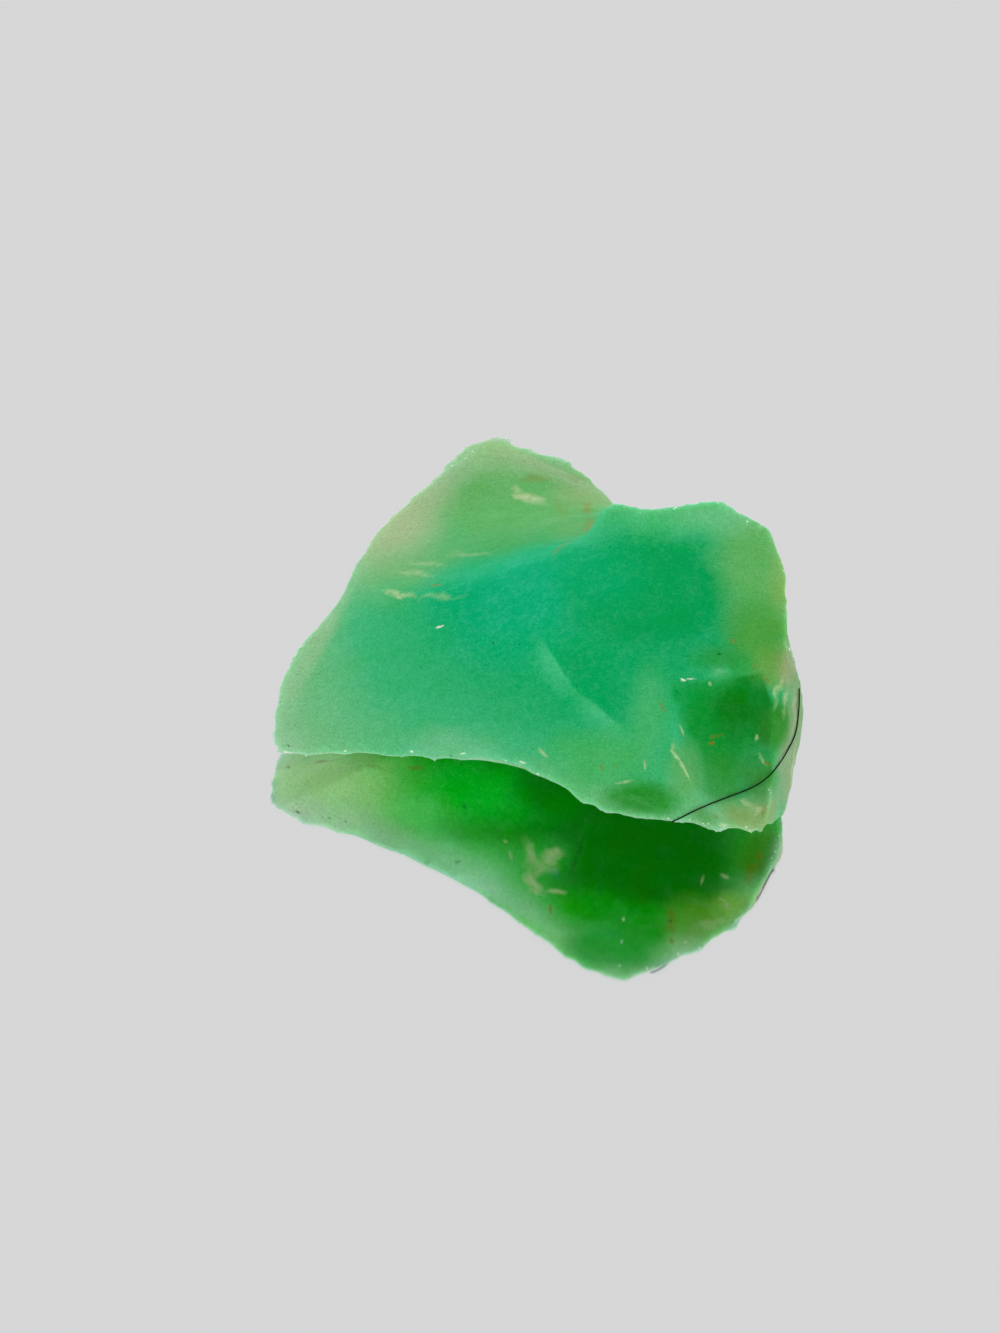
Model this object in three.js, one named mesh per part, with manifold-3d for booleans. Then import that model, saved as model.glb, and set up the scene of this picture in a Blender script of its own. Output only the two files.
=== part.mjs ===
// Raw chrysoprase: one broken lump of green chalcedony, in millimetres, +Z up.
//
// The lump is a thick block at the right (+X) that thins to a blunt tongue at the back left (+Y) and to
// a sharp rim at the left and front. It stands on a flat patch of its underside, so its rim overhangs
// all round. The origin is on the floor, under the middle of the bounding box.
//
// The surface is a net: named corners, wavy ridges that run from corner to corner, and a facet
// stretched between each ring of ridges, hollowed or bulged like a conchoidal break. Flake scars and
// small chips along the ridges are then cut out of it.

import * as THREE from "three";
import { mergeVertices } from "three/addons/utils/BufferGeometryUtils.js";
import Module from "manifold-3d";

const WIDTH = 24.8; // the lump's size along X
const MESH_STEP = 0.74; // spacing of the points along ridges and across facets
const RIDGE_WAVE = 0.05; // how far a ridge wanders from its smooth line
const WAVE_LENGTH = 2.4; // the longer of the two waves along a ridge
const SHORT_WAVE = { turns: 2.3, size: 0.7 }; // the shorter wave, beside the longer one
const WAVE_FADE = 0.25; // the share of a ridge, at each end, over which its waves grow
const SMALLEST_LOOP = 5; // the fewest points in a loop across a facet
const MERGE_GAP = 1e-4; // points closer than this are one
const STRETCH_PASSES = 60; // rounds of averaging that stretch a facet over its ring
const FAIR_PASSES = 900; // rounds that carry the surface smoothly through the soft ridges
const FAIR_RATE = 0.4; // the share of its bending that a point gives up in a round
const BULGE_PASSES = 240; // rounds that shape a facet's bulge
const SCAR_DETAIL = 9; // how finely a scar's surface is divided
const FLAKE_DETAIL = 4; // how finely a flake's surface is divided
const FLAKE_MARGIN = 0.15; // the share of its stretch of ridge that a flake keeps clear at each end

// ------------------------------------------------------------------------------------ the net

const corners = {
  leftFront: [-12.1, -7.4, 2.0],
  frontStep: [2.4, -11.85, 5.65],
  frontTip: [5.2, -12.65, 5.95],
  rightFront: [10.8, -9.9, 2.6],
  rightToe: [11.9, -7.0, 0.9],
  spineTop: [4.8, -6.8, 8.7],
  spineMiddle: [5.1, -9.0, 7.7],
  blockFront: [0.5, -4.7, 8.1],
  blockLeft: [0.4, 1.6, 8.3],
  blockBackLeft: [1.9, 3.3, 9.6],
  blockBack: [6.3, 2.8, 11.0],
  blockBackRight: [9.9, 1.8, 10.6],
  blockRight: [11.0, -1.7, 9.5],
  oliveBack: [9.2, -2.8, 9.7],
  oliveFront: [9.4, -5.3, 9.0],
  scoopRight: [10.6, -5.6, 7.9],
  scoopLeft: [6.2, -6.5, 9.0],
  frontMiddle: [7.6, -11.7, 4.85],
  tongueLeft: [-9.3, 3.9, 3.9],
  tongueRight: [2.1, 10.1, 3.7],
  stepFoot: [2.6, 5.9, 6.3],
  backRight: [11.4, 1.2, 1.6],
  baseFrontLeft: [-4.6, -3.4, 0],
  baseFront: [3.2, -5.2, 0],
  baseFrontRight: [9.6, -5.0, 0],
  baseRight: [8.4, -0.6, 0],
  baseBack: [2.0, 3.4, 0],
  baseLeft: [-3.8, 1.2, 0],
};

// name: [from, points on the way, to]
const ridges = {
  frontLeft: [
    "leftFront",
    [
      [-10.2, -7.9, 2.6], [-7.0, -8.0, 3.1], [-5.4, -8.3, 3.5], [-3.8, -8.7, 4.05],
      [-2.1, -9.1, 4.7], [-0.5, -9.7, 5.35], [0.6, -10.5, 5.65],
    ],
    "frontStep",
  ],
  frontNose: ["frontStep", [[3.7, -12.4, 5.8]], "frontTip"],
  frontNotch: ["frontTip", [[5.9, -12.4, 5.65], [6.7, -12.05, 5.2]], "frontMiddle"],
  frontRight: ["frontMiddle", [[9.3, -11.2, 4.1], [10.1, -10.5, 3.5]], "rightFront"],
  toe: ["rightFront", [[11.4, -8.6, 1.8]], "rightToe"],
  rightProfile: [
    "blockRight",
    [
      [11.05, -2.6, 9.2], [11.2, -3.3, 8.7], [11.75, -3.9, 6.9],
      [12.1, -4.5, 5.3], [12.3, -5.2, 3.7], [12.1, -5.9, 2.5],
    ],
    "rightToe",
  ],
  rimBack: ["blockBackLeft", [[3.0, 3.1, 10.1], [4.4, 2.5, 10.5]], "blockBack"],
  rimCrown: ["blockBack", [[7.5, 2.9, 11.2], [8.7, 2.2, 10.9]], "blockBackRight"],
  rimRight: ["blockBackRight", [[10.7, 0.3, 10.1]], "blockRight"],
  step: ["blockBackLeft", [[1.9, 2.0, 8.8]], "blockLeft"],
  stepCorner: ["blockBackLeft", [], "stepFoot"],
  stepFloor: ["stepFoot", [[1.6, 3.1, 7.7]], "blockLeft"],
  tongueRim: [
    "tongueLeft",
    [
      [-7.9, 7.1, 4.0], [-6.7, 8.4, 4.1], [-5.1, 10.4, 4.2],
      [-3.5, 12.5, 4.3], [-1.6, 12.0, 4.1], [0.6, 11.4, 3.9],
    ],
    "tongueRight",
  ],
  tongueRoot: ["stepFoot", [], "tongueRight"],
  leftRim: ["leftFront", [[-12.3, -4.5, 2.5], [-11.8, -2.1, 3.1], [-10.0, 0.8, 3.5]], "tongueLeft"],
  tongueCrease: ["tongueLeft", [[-6.1, 0.1, 6.1], [-2.4, 0.6, 7.4]], "blockLeft"],
  blockCrease: ["blockLeft", [[0.0, -1.7, 8.2]], "blockFront"],
  shoulderFoot: ["blockFront", [[1.5, -6.5, 8.0], [2.7, -7.7, 7.9], [4.1, -8.7, 7.8]], "spineMiddle"],
  shoulderTop: ["blockFront", [[2.5, -5.2, 8.6]], "spineTop"],
  spineUpper: ["spineTop", [[5.0, -7.9, 8.3]], "spineMiddle"],
  spineLower: ["spineMiddle", [[5.2, -10.1, 7.1], [5.2, -11.3, 6.5]], "frontTip"],
  spineCrest: ["spineTop", [], "scoopLeft"],
  scoopRim: ["scoopLeft", [[8.0, -6.0, 9.1]], "oliveFront"],
  scoopEdge: ["scoopLeft", [[5.9, -8.1, 8.1], [6.5, -9.2, 7.1], [7.1, -10.3, 6.0]], "frontMiddle"],
  scoopCorner: ["oliveFront", [], "scoopRight"],
  scoopSide: [
    "scoopRight",
    [[10.6, -6.6, 7.3], [10.7, -7.3, 6.3], [11.1, -7.9, 5.0], [11.0, -8.9, 3.8]],
    "rightFront",
  ],
  oliveSide: ["blockRight", [[11.0, -2.8, 9.2], [11.0, -4.1, 8.8]], "scoopRight"],
  oliveLeft: ["oliveBack", [], "oliveFront"],
  oliveTop: ["oliveBack", [], "blockRight"],
  bevel: ["blockBack", [[8.0, -1.4, 10.3]], "oliveBack"],
  footRim: ["tongueRight", [[4.6, 8.2, 3.2], [7.2, 6.4, 2.6], [9.6, 4.2, 2.1]], "backRight"],
  rightFoot: ["backRight", [[12.2, -2.6, 1.2]], "rightToe"],
  backCorner: ["blockBackRight", [[10.7, 2.2, 6.0]], "backRight"],
  keel: ["baseFront", [[2.8, -7.0, 1.4], [2.7, -8.4, 3.1], [2.2, -10.2, 4.7]], "frontStep"],
  underLeftFront: ["baseFrontLeft", [], "leftFront"],
  underLeft: ["baseLeft", [], "tongueLeft"],
  underBack: ["baseBack", [], "tongueRight"],
  underRight: ["baseRight", [], "backRight"],
  underToe: ["baseFrontRight", [], "rightToe"],
  baseEdgeFront: ["baseFrontLeft", [[-0.8, -3.7, 0]], "baseFront"],
  baseEdgeFrontRight: ["baseFront", [[6.8, -6.0, 0]], "baseFrontRight"],
  baseEdgeRight: ["baseFrontRight", [], "baseRight"],
  baseEdgeBack: ["baseRight", [[5.2, 1.6, 0]], "baseBack"],
  baseEdgeBackLeft: ["baseBack", [[-1.2, 3.0, 0]], "baseLeft"],
  baseEdgeLeft: ["baseLeft", [], "baseFrontLeft"],
};

// Ridges that are rounded over: the surface runs smoothly across them.
const softRidges = [
  "blockCrease", "tongueCrease", "shoulderTop", "spineUpper", "spineLower", "spineCrest",
  "bevel", "oliveTop", "keel", "underBack", "underRight",
];

// Each facet is a ring of ridges, anticlockwise seen from outside; "-" runs a ridge backwards. bulge is
// how far its middle stands out of the stretched surface, and is negative for a hollow.
const facets = [
  {
    ring: [
      "frontLeft", "frontNose", "-spineLower", "-shoulderFoot", "-blockCrease", "-tongueCrease",
      "-leftRim",
    ],
    bulge: 0.35,
  },
  { ring: ["shoulderFoot", "-spineUpper", "-shoulderTop"], bulge: -0.1 },
  { ring: ["spineLower", "frontNotch", "-scoopEdge", "-spineCrest", "spineUpper"], bulge: 0.1 },
  {
    ring: ["scoopEdge", "frontRight", "-scoopSide", "-scoopCorner", "-scoopRim"],
    bulge: -0.9,
  },
  {
    ring: [
      "blockCrease", "shoulderTop", "spineCrest", "scoopRim", "-oliveLeft", "-bevel", "-rimBack",
      "step",
    ],
    bulge: -0.1,
  },
  { ring: ["bevel", "oliveTop", "-rimRight", "-rimCrown"], bulge: 0.2 },
  { ring: ["oliveLeft", "scoopCorner", "-oliveSide", "-oliveTop"], bulge: -0.1 },
  { ring: ["oliveSide", "scoopSide", "toe", "-rightProfile"], bulge: 0.1 },
  { ring: ["-step", "stepCorner", "stepFloor"], bulge: 0 },
  { ring: ["tongueCrease", "-stepFloor", "tongueRoot", "-tongueRim"], bulge: -0.25 },
  { ring: ["rimRight", "rightProfile", "-rightFoot", "-backCorner"], bulge: -0.3 },
  {
    ring: ["rimBack", "rimCrown", "backCorner", "-footRim", "-tongueRoot", "-stepCorner"],
    bulge: -0.9,
  },
  { ring: ["-frontLeft", "-underLeftFront", "baseEdgeFront", "keel"], bulge: -0.5 },
  {
    ring: [
      "-keel", "baseEdgeFrontRight", "underToe", "-toe", "-frontRight", "-frontNotch", "-frontNose",
    ],
    bulge: -0.4,
  },
  { ring: ["leftRim", "-underLeft", "baseEdgeLeft", "underLeftFront"], bulge: 0.3 },
  { ring: ["tongueRim", "-underBack", "baseEdgeBackLeft", "underLeft"], bulge: 0.5 },
  { ring: ["footRim", "-underRight", "baseEdgeBack", "underBack"], bulge: 0.3 },
  { ring: ["rightFoot", "-underToe", "baseEdgeRight", "underRight"], bulge: 0.2 },
  {
    ring: [
      "-baseEdgeFront", "-baseEdgeLeft", "-baseEdgeBackLeft", "-baseEdgeBack", "-baseEdgeRight",
      "-baseEdgeFrontRight",
    ],
    bulge: 0,
  },
];

// Repeatable random numbers from 0 to 1.
function randomSource(seed) {
  let state = seed;
  return () => {
    state = (state + 0x6d2b79f5) | 0;
    let t = Math.imul(state ^ (state >>> 15), 1 | state);
    t = (t + Math.imul(t ^ (t >>> 7), 61 | t)) ^ t;
    return ((t ^ (t >>> 14)) >>> 0) / 4294967296;
  };
}

const points = []; // every point of the net
const triangles = []; // three indices each, anticlockwise seen from outside

function addPoint(point) {
  points.push(point);
  return points.length - 1;
}

const cornerIndex = {};
for (const [name, place] of Object.entries(corners)) {
  cornerIndex[name] = addPoint(new THREE.Vector3(...place));
}

// The indices of a ridge's points, from its first corner to its last.
function layRidge([from, way, to], seed, wave) {
  const start = points[cornerIndex[from]];
  const end = points[cornerIndex[to]];
  const onFloor = start.z === 0 && end.z === 0;
  const line = [start, ...way.map((place) => new THREE.Vector3(...place)), end];
  const curve = new THREE.CatmullRomCurve3(line, false, "centripetal");
  const length = curve.getLength();
  const count = Math.max(2, Math.round(length / MESH_STEP));
  const random = randomSource(seed);
  const phases = Array.from({ length: 6 }, () => 2 * Math.PI * random());
  const fullTurn = (2 * Math.PI * length) / WAVE_LENGTH;
  return curve.getSpacedPoints(count).map((point, i) => {
    if (i === 0) return cornerIndex[from];
    if (i === count) return cornerIndex[to];
    const share = i / count;
    const reach = wave * Math.min(1, share / WAVE_FADE, (1 - share) / WAVE_FADE);
    const sway = (axis) => {
      const long = Math.sin(fullTurn * share + phases[axis]);
      const short = Math.sin(SHORT_WAVE.turns * fullTurn * share + phases[axis + 3]);
      return reach * (long + SHORT_WAVE.size * short);
    };
    point.x += sway(0);
    point.y += sway(1);
    if (!onFloor) point.z += sway(2);
    return addPoint(point);
  });
}

const ridgeIndices = {};
Object.keys(ridges).forEach((name, i) => {
  ridgeIndices[name] = layRidge(ridges[name], i + 1, softRidges.includes(name) ? 0 : RIDGE_WAVE);
});

// The closed loop of point indices round a facet. Each ridge has to start where the last one ended.
function loopOf(ring) {
  const loop = [];
  for (const step of ring) {
    const backwards = step.startsWith("-");
    const along = ridgeIndices[backwards ? step.slice(1) : step];
    const run = backwards ? [...along].reverse() : along;
    if (loop.length && loop.at(-1) !== run[0]) {
      throw new Error("ridge " + step + " doesn't meet the one before it");
    }
    loop.push(...run.slice(loop.length ? 1 : 0));
  }
  if (loop.pop() !== loop[0]) throw new Error("the ring ending with " + ring.at(-1) + " isn't closed");
  return loop;
}

// Joins two closed loops of indices with a band of triangles, stepping along whichever loop lags behind.
function joinLoops(outer, inner, faces) {
  let i = 0;
  let j = 0;
  while (i < outer.length || j < inner.length) {
    const a = outer[i % outer.length];
    const b = inner[j % inner.length];
    if (j === inner.length || (i < outer.length && (i + 1) / outer.length <= (j + 1) / inner.length)) {
      faces.push([a, outer[(i + 1) % outer.length], b]);
      i += 1;
    } else {
      faces.push([a, inner[(j + 1) % inner.length], b]);
      j += 1;
    }
  }
}

// Fills a facet's ring with shrinking loops of points. Returns its faces and the points inside it.
function fillFacet({ ring, bulge }) {
  const loop = loopOf(ring);
  const centre = new THREE.Vector3();
  for (const i of loop) centre.addScaledVector(points[i], 1 / loop.length);
  const reach = loop.reduce((sum, i) => sum + points[i].distanceTo(centre), 0) / loop.length;
  const rings = Math.max(1, Math.round(reach / MESH_STEP));
  const faces = [];
  const inside = [];
  let outer = loop;
  for (let k = 1; k < rings; k += 1) {
    const share = 1 - k / rings;
    const count = Math.max(SMALLEST_LOOP, Math.round(loop.length * share));
    const inner = Array.from({ length: count }, (_, n) => {
      const at = (n / count) * loop.length;
      const a = points[loop[Math.floor(at)]];
      const b = points[loop[(Math.floor(at) + 1) % loop.length]];
      return addPoint(a.clone().lerp(b, at % 1).sub(centre).multiplyScalar(share).add(centre));
    });
    joinLoops(outer, inner, faces);
    inside.push(...inner);
    outer = inner;
  }
  const middle = addPoint(centre);
  inside.push(middle);
  outer.forEach((a, n) => faces.push([a, outer[(n + 1) % outer.length], middle]));
  triangles.push(...faces);
  return { faces, inside, bulge };
}

const filled = facets.map(fillFacet);

const beside = points.map(() => new Set()); // the points next to each point
for (const [a, b, c] of triangles) {
  beside[a].add(b).add(c);
  beside[b].add(c).add(a);
  beside[c].add(a).add(b);
}

// The mean of a value over the points next to point i, written into sum.
function meanBeside(values, i, sum) {
  sum.set(0, 0, 0);
  for (const j of beside[i]) sum.add(values[j]);
  return sum.divideScalar(beside[i].size);
}

// Draws a facet's inner points out evenly over its ring.
function stretch({ inside }) {
  for (let pass = 0; pass < STRETCH_PASSES; pass += 1) {
    for (const i of inside) meanBeside(points, i, points[i]);
  }
}

// Bends the facets as a springy plate bends: smoothly through soft ridges, hinged at the others.
function fair() {
  const free = filled.flatMap(({ inside }) => inside);
  const bending = points.map(() => new THREE.Vector3());
  const sprung = [...free, ...softRidges.flatMap((name) => ridgeIndices[name].slice(1, -1))];
  const around = new THREE.Vector3();
  for (let pass = 0; pass < FAIR_PASSES; pass += 1) {
    for (const i of sprung) meanBeside(points, i, bending[i]).sub(points[i]);
    for (const i of free) {
      meanBeside(bending, i, around);
      points[i].addScaledVector(bending[i], FAIR_RATE).addScaledVector(around, -FAIR_RATE);
    }
  }
}

// Lifts the middle of a facet by its bulge, falling to nothing at its ring.
function bulgeOut({ faces, inside, bulge }) {
  const height = points.map(() => 0);
  for (let pass = 0; pass < BULGE_PASSES; pass += 1) {
    for (const i of inside) {
      let sum = 0;
      for (const j of beside[i]) sum += height[j];
      height[i] = 1 + sum / beside[i].size;
    }
  }
  const highest = Math.max(...inside.map((i) => height[i]));
  const normal = new THREE.Vector3();
  const face = new THREE.Triangle();
  const faceNormal = new THREE.Vector3();
  for (const [a, b, c] of faces) {
    face.set(points[a], points[b], points[c]);
    normal.addScaledVector(face.getNormal(faceNormal), face.getArea());
  }
  normal.normalize();
  for (const i of inside) points[i].addScaledVector(normal, (bulge * height[i]) / highest);
}

filled.forEach(stretch);
fair();
filled.forEach(bulgeOut);

// ------------------------------------------------------------------- scars, flakes and the solid

const wasm = await Module();
wasm.setup();

function solidOf(geometry) {
  const bare = geometry.clone();
  bare.deleteAttribute("normal");
  bare.deleteAttribute("uv");
  const merged = mergeVertices(bare, MERGE_GAP);
  const vertProperties = merged.attributes.position.array;
  const triVerts = new Uint32Array(merged.index.array);
  return new wasm.Manifold(new wasm.Mesh({ numProp: 3, vertProperties, triVerts }));
}

function geometryOf(solid) {
  const mesh = solid.getMesh();
  const geometry = new THREE.BufferGeometry();
  geometry.setAttribute("position", new THREE.BufferAttribute(mesh.vertProperties, 3));
  geometry.setIndex(new THREE.BufferAttribute(mesh.triVerts, 1));
  return geometry;
}

const net = new THREE.BufferGeometry().setFromPoints(points);
net.setIndex(triangles.flat());
net.computeVertexNormals();

// A cutter that takes a shallow dish out of the surface. at is the middle of the dish on the old surface
// and facing the way that it faces; across and along are half its size, and turn is degrees about facing.
function dish({ at, facing, across, along, depth, turn }, detail) {
  const up = new THREE.Vector3(0, 0, 1);
  const out = new THREE.Vector3(...facing).normalize();
  const radius = (across ** 2 + depth ** 2) / (2 * depth);
  const tilt = new THREE.Quaternion().setFromUnitVectors(up, out);
  const spin = new THREE.Quaternion().setFromAxisAngle(up, THREE.MathUtils.degToRad(turn));
  const centre = new THREE.Vector3(...at).addScaledVector(out, radius - depth);
  const halfAxes = new THREE.Vector3(radius, (radius * along) / across, radius);
  const place = new THREE.Matrix4().compose(centre, tilt.multiply(spin), halfAxes);
  return solidOf(new THREE.IcosahedronGeometry(1, detail).applyMatrix4(place));
}

const scars = [
  // a shallow flake above the front rim
  { at: [5.3, -11.5, 6.42], facing: [0.1, -0.5, 0.86], across: 2.1, along: 0.65, depth: 0.12, turn: 0 },
  // the underside of the front rim
  { at: [4.6, -11.6, 4.9], facing: [0.1, -0.62, -0.78], across: 2.0, along: 1.1, depth: 0.2, turn: 10 },
  // the underside of the tongue and of the left rim
  { at: [-5.2, 7.2, 2.3], facing: [-0.25, 0.35, -0.9], across: 3.0, along: 2.4, depth: 0.4, turn: 30 },
  { at: [-9.0, -1.5, 1.6], facing: [-0.45, 0.1, -0.9], across: 2.2, along: 2.8, depth: 0.35, turn: 0 },
  { at: [0.4, 8.4, 2.0], facing: [0.2, 0.4, -0.9], across: 2.2, along: 2.0, depth: 0.3, turn: 0 },
  // the steep back and right side
  { at: [6.4, 5.2, 6.0], facing: [0.3, 0.85, 0.45], across: 2.6, along: 3.2, depth: 0.5, turn: 20 },
  { at: [4.0, 6.8, 5.4], facing: [0.3, 0.8, 0.6], across: 1.4, along: 2.0, depth: 0.25, turn: 0 },
  { at: [11.4, -0.8, 5.6], facing: [1.0, 0.15, 0.1], across: 2.0, along: 2.6, depth: 0.35, turn: 0 },
  { at: [10.6, 2.2, 3.2], facing: [0.8, 0.6, 0.1], across: 1.4, along: 1.8, depth: 0.25, turn: 0 },
];

// Flakes broken off along a ridge: how many, half their width, their depth, and how far they face down.
const flakeRows = [
  { ridge: "frontLeft", count: 8, across: [0.3, 0.6], depth: [0.04, 0.09], down: 0.9, seed: 11 },
  { ridge: "frontNotch", count: 2, across: [0.3, 0.5], depth: [0.03, 0.06], down: 0.6, seed: 12 },
  { ridge: "frontRight", count: 4, across: [0.3, 0.5], depth: [0.05, 0.12], down: 0.2, seed: 16 },
  { ridge: "leftRim", count: 5, across: [0.5, 1.1], depth: [0.05, 0.12], down: 0.4, seed: 13 },
  { ridge: "tongueRim", count: 8, across: [0.5, 1.2], depth: [0.05, 0.13], down: 0.4, seed: 14 },
  { ridge: "rimCrown", count: 3, across: [0.4, 0.8], depth: [0.03, 0.07], down: 0, seed: 15 },
  { ridge: "rightProfile", count: 4, across: [0.4, 0.8], depth: [0.05, 0.12], down: 0, seed: 17 },
  { ridge: "footRim", count: 6, across: [0.6, 1.4], depth: [0.12, 0.35], down: 0.2, seed: 18 },
  { ridge: "rightFoot", count: 4, across: [0.5, 1.2], depth: [0.1, 0.25], down: 0, seed: 19 },
  { ridge: "backCorner", count: 4, across: [0.5, 1.2], depth: [0.1, 0.3], down: 0, seed: 20 },
];

// The cutters of one row of flakes, spread evenly along its ridge.
function flakesAlong({ ridge, count, across, depth, down, seed }) {
  const random = randomSource(seed);
  const between = ([low, high]) => low + (high - low) * random();
  const line = ridgeIndices[ridge];
  return Array.from({ length: count }, (_, n) => {
    const share = (n + between([FLAKE_MARGIN, 1 - FLAKE_MARGIN])) / count;
    const i = line[Math.round(share * (line.length - 1))];
    const facing = new THREE.Vector3().fromBufferAttribute(net.attributes.normal, i);
    facing.z -= down;
    const width = between(across);
    const flake = {
      at: points[i].toArray(),
      facing: facing.toArray(),
      across: width,
      along: width * between([1, 2]),
      depth: between(depth),
      turn: between([0, 360]),
    };
    return dish(flake, FLAKE_DETAIL);
  });
}

const cutters = [...scars.map((scar) => dish(scar, SCAR_DETAIL)), ...flakeRows.flatMap(flakesAlong)];

let lump = solidOf(net);
for (const cutter of cutters) lump = lump.subtract(cutter);
lump = lump.decompose().sort((a, b) => b.volume() - a.volume())[0]; // without the slivers cut free

const shape = geometryOf(lump);
shape.computeBoundingBox();
const size = shape.boundingBox.getSize(new THREE.Vector3());
const middle = shape.boundingBox.getCenter(new THREE.Vector3());
shape.translate(-middle.x, -middle.y, -shape.boundingBox.min.z);
shape.scale(WIDTH / size.x, WIDTH / size.x, WIDTH / size.x);

const chrysoprase = new THREE.Mesh(
  shape,
  new THREE.MeshStandardMaterial({ color: 0x3fb873, roughness: 0.38, metalness: 0 }),
);
chrysoprase.name = "chrysoprase";

const model = new THREE.Group();
model.add(chrysoprase);

export default model;
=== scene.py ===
"""The looks of a raw chrysoprase: one broken lump of green chalcedony on a pale polished floor.

The lump's main form is the CAD node. This script gives it a fine, smooth, chipped surface and a
translucent stone material, lays a stray hair on it, and sets the floor, the light and the camera.
"""

import math
import random

import bmesh
import bpy
import numpy as np
from bpy.props import FloatProperty, FloatVectorProperty, IntProperty, PointerProperty
from mathutils import Matrix, Vector, noise
from mathutils.bvhtree import BVHTree
from mathutils.kdtree import KDTree


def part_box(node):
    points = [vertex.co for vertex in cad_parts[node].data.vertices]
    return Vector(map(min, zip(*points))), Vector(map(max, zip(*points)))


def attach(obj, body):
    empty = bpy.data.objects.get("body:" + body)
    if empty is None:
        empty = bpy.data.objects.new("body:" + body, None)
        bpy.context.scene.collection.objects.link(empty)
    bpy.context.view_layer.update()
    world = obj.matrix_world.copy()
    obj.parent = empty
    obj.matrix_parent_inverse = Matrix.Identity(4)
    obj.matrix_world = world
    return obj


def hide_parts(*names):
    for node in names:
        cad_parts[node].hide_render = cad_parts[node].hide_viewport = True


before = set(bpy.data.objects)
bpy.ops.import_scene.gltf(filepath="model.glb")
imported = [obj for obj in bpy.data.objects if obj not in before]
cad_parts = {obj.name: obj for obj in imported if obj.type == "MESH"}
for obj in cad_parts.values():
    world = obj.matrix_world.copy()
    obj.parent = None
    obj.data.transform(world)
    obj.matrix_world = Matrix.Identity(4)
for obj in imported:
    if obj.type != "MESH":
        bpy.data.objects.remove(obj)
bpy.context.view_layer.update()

bl_info = {
    "name": "Raw Chrysoprase",
    "version": (1, 0, 0),
    "blender": (4, 5, 0),
    "location": "View3D > Sidebar > Chrysoprase",
    "description": "Dresses a packed lump of raw chrysoprase and sets it on a pale floor",
    "category": "Object",
}

MM = 0.001  # one millimetre in metres: shapes are worked out in millimetres and stored in metres
NODE = "chrysoprase"
BODY = "root"


def linear(red, green, blue):
    """A colour given as 0 to 255 on a screen, as the linear values that Blender works in."""
    def straight(level):
        share = level / 255
        return share / 12.92 if share <= 0.04045 else ((share + 0.055) / 1.055) ** 2.4
    return tuple(straight(level) for level in (red, green, blue))


def length(name, default, description):
    """A property that holds a length, given in millimetres."""
    return FloatProperty(name=name, description=description, default=default * MM, min=0.0,
                         precision=5, unit="LENGTH")


def colour(name, default, description):
    """A property that holds a colour, given as 0 to 255 on a screen."""
    return FloatVectorProperty(name=name, description=description, default=linear(*default),
                               min=0.0, max=1.0, size=3, subtype="COLOR")


# ---------------------------------------------------------------------------------- settings


class StoneShapeSettings(bpy.types.PropertyGroup):
    """The sizes of the stone's fine surface."""

    mesh_step: length("Mesh step", 0.132, "Spacing of the fine mesh's points")
    ridge_angle: FloatProperty(
        name="Ridge angle", description="Faces that meet more sharply than this make a ridge",
        default=math.radians(27), subtype="ANGLE")
    # Ridges sharper than the sharp angle get a pale line that is partly real wear and partly painted
    # sheen.
    sharp_angle: FloatProperty(
        name="Sharp angle", description="Ridges sharper than this are worn pale",
        default=math.radians(80), subtype="ANGLE")
    ridge_reach: length("Ridge reach", 0.55, "How far from a ridge the smoothing grows to its full")
    smoothing_rounds: IntProperty(
        name="Smoothing rounds", description="Rounds of smoothing that take the facets away",
        default=42, min=0)
    swell_height: length("Swell height", 0.035, "Height of the broad swells of the broken faces")
    grain_height: length("Grain height", 0.007, "Height of the fine unevenness")
    ripple_height: length("Ripple height", 0.022, "Height of the ripples round each blow")
    hackle_height: length("Hackle height", 0.05, "Height of the streaks on the steep right side")


class StoneColourSettings(bpy.types.PropertyGroup):
    """The stone's colours, as they look in the stage's light."""

    top_rim: colour("Top, rim", (176, 182, 168), "The thinnest edges of the top, nearly clear")
    top_thin: colour("Top, thin", (148, 188, 152), "The top where the stone is about 1 mm thick")
    top_pale: colour("Top, pale", (116, 186, 130), "The top where it is 2 or 3 mm thick")
    top_body: colour("Top, body", (62, 177, 118), "The top where it is about 5 mm thick")
    top_deep: colour("Top, deep", (16, 166, 100), "The top of the thickest stone")
    under_rim: colour("Underside, rim", (184, 148, 176), "The thinnest edges of the underside")
    under_thin: colour("Underside, thin", (152, 160, 152), "The underside at about 1 mm thick")
    under_pale: colour("Underside, pale", (116, 164, 116), "The underside at 3 mm thick")
    under_body: colour("Underside, body", (44, 148, 50), "The underside at about 5 mm thick")
    under_deep: colour("Underside, deep", (0, 100, 4), "The underside of the thickest stone")
    under_edge: colour("Underside, edge", (84, 110, 96), "The brightly lit rim of the underside")
    # The pale line along the sharpest ridges is partly real wear and partly painted sheen.
    worn_edge_and_sheen: colour("Worn edge", (172, 204, 182), "The light line along the sharpest edges")
    cream: colour("Cream", (182, 200, 152), "Cream-coloured flecks and streaks")
    # This white serves real white flecks and also painted highlights: the glints along the sharpest
    # edges and some of the white marks.
    white: colour("White", (226, 236, 222), "White flecks")
    rust: colour("Rust", (128, 118, 30), "Rusty stains")
    speck: colour("Speck", (14, 70, 30), "Tiny dark specks")
    wisp: colour("Wisp", (140, 200, 156), "Faint drawn-out clouds")
    teal: colour("Teal", (0, 150, 92), "Teal patches of the underside")


class HairSettings(bpy.types.PropertyGroup):
    """The stray hair."""

    radius: length("Radius", 0.036, "Half the hair's thickness")
    tint: colour("Colour", (8, 22, 8), "The hair's colour")


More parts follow.
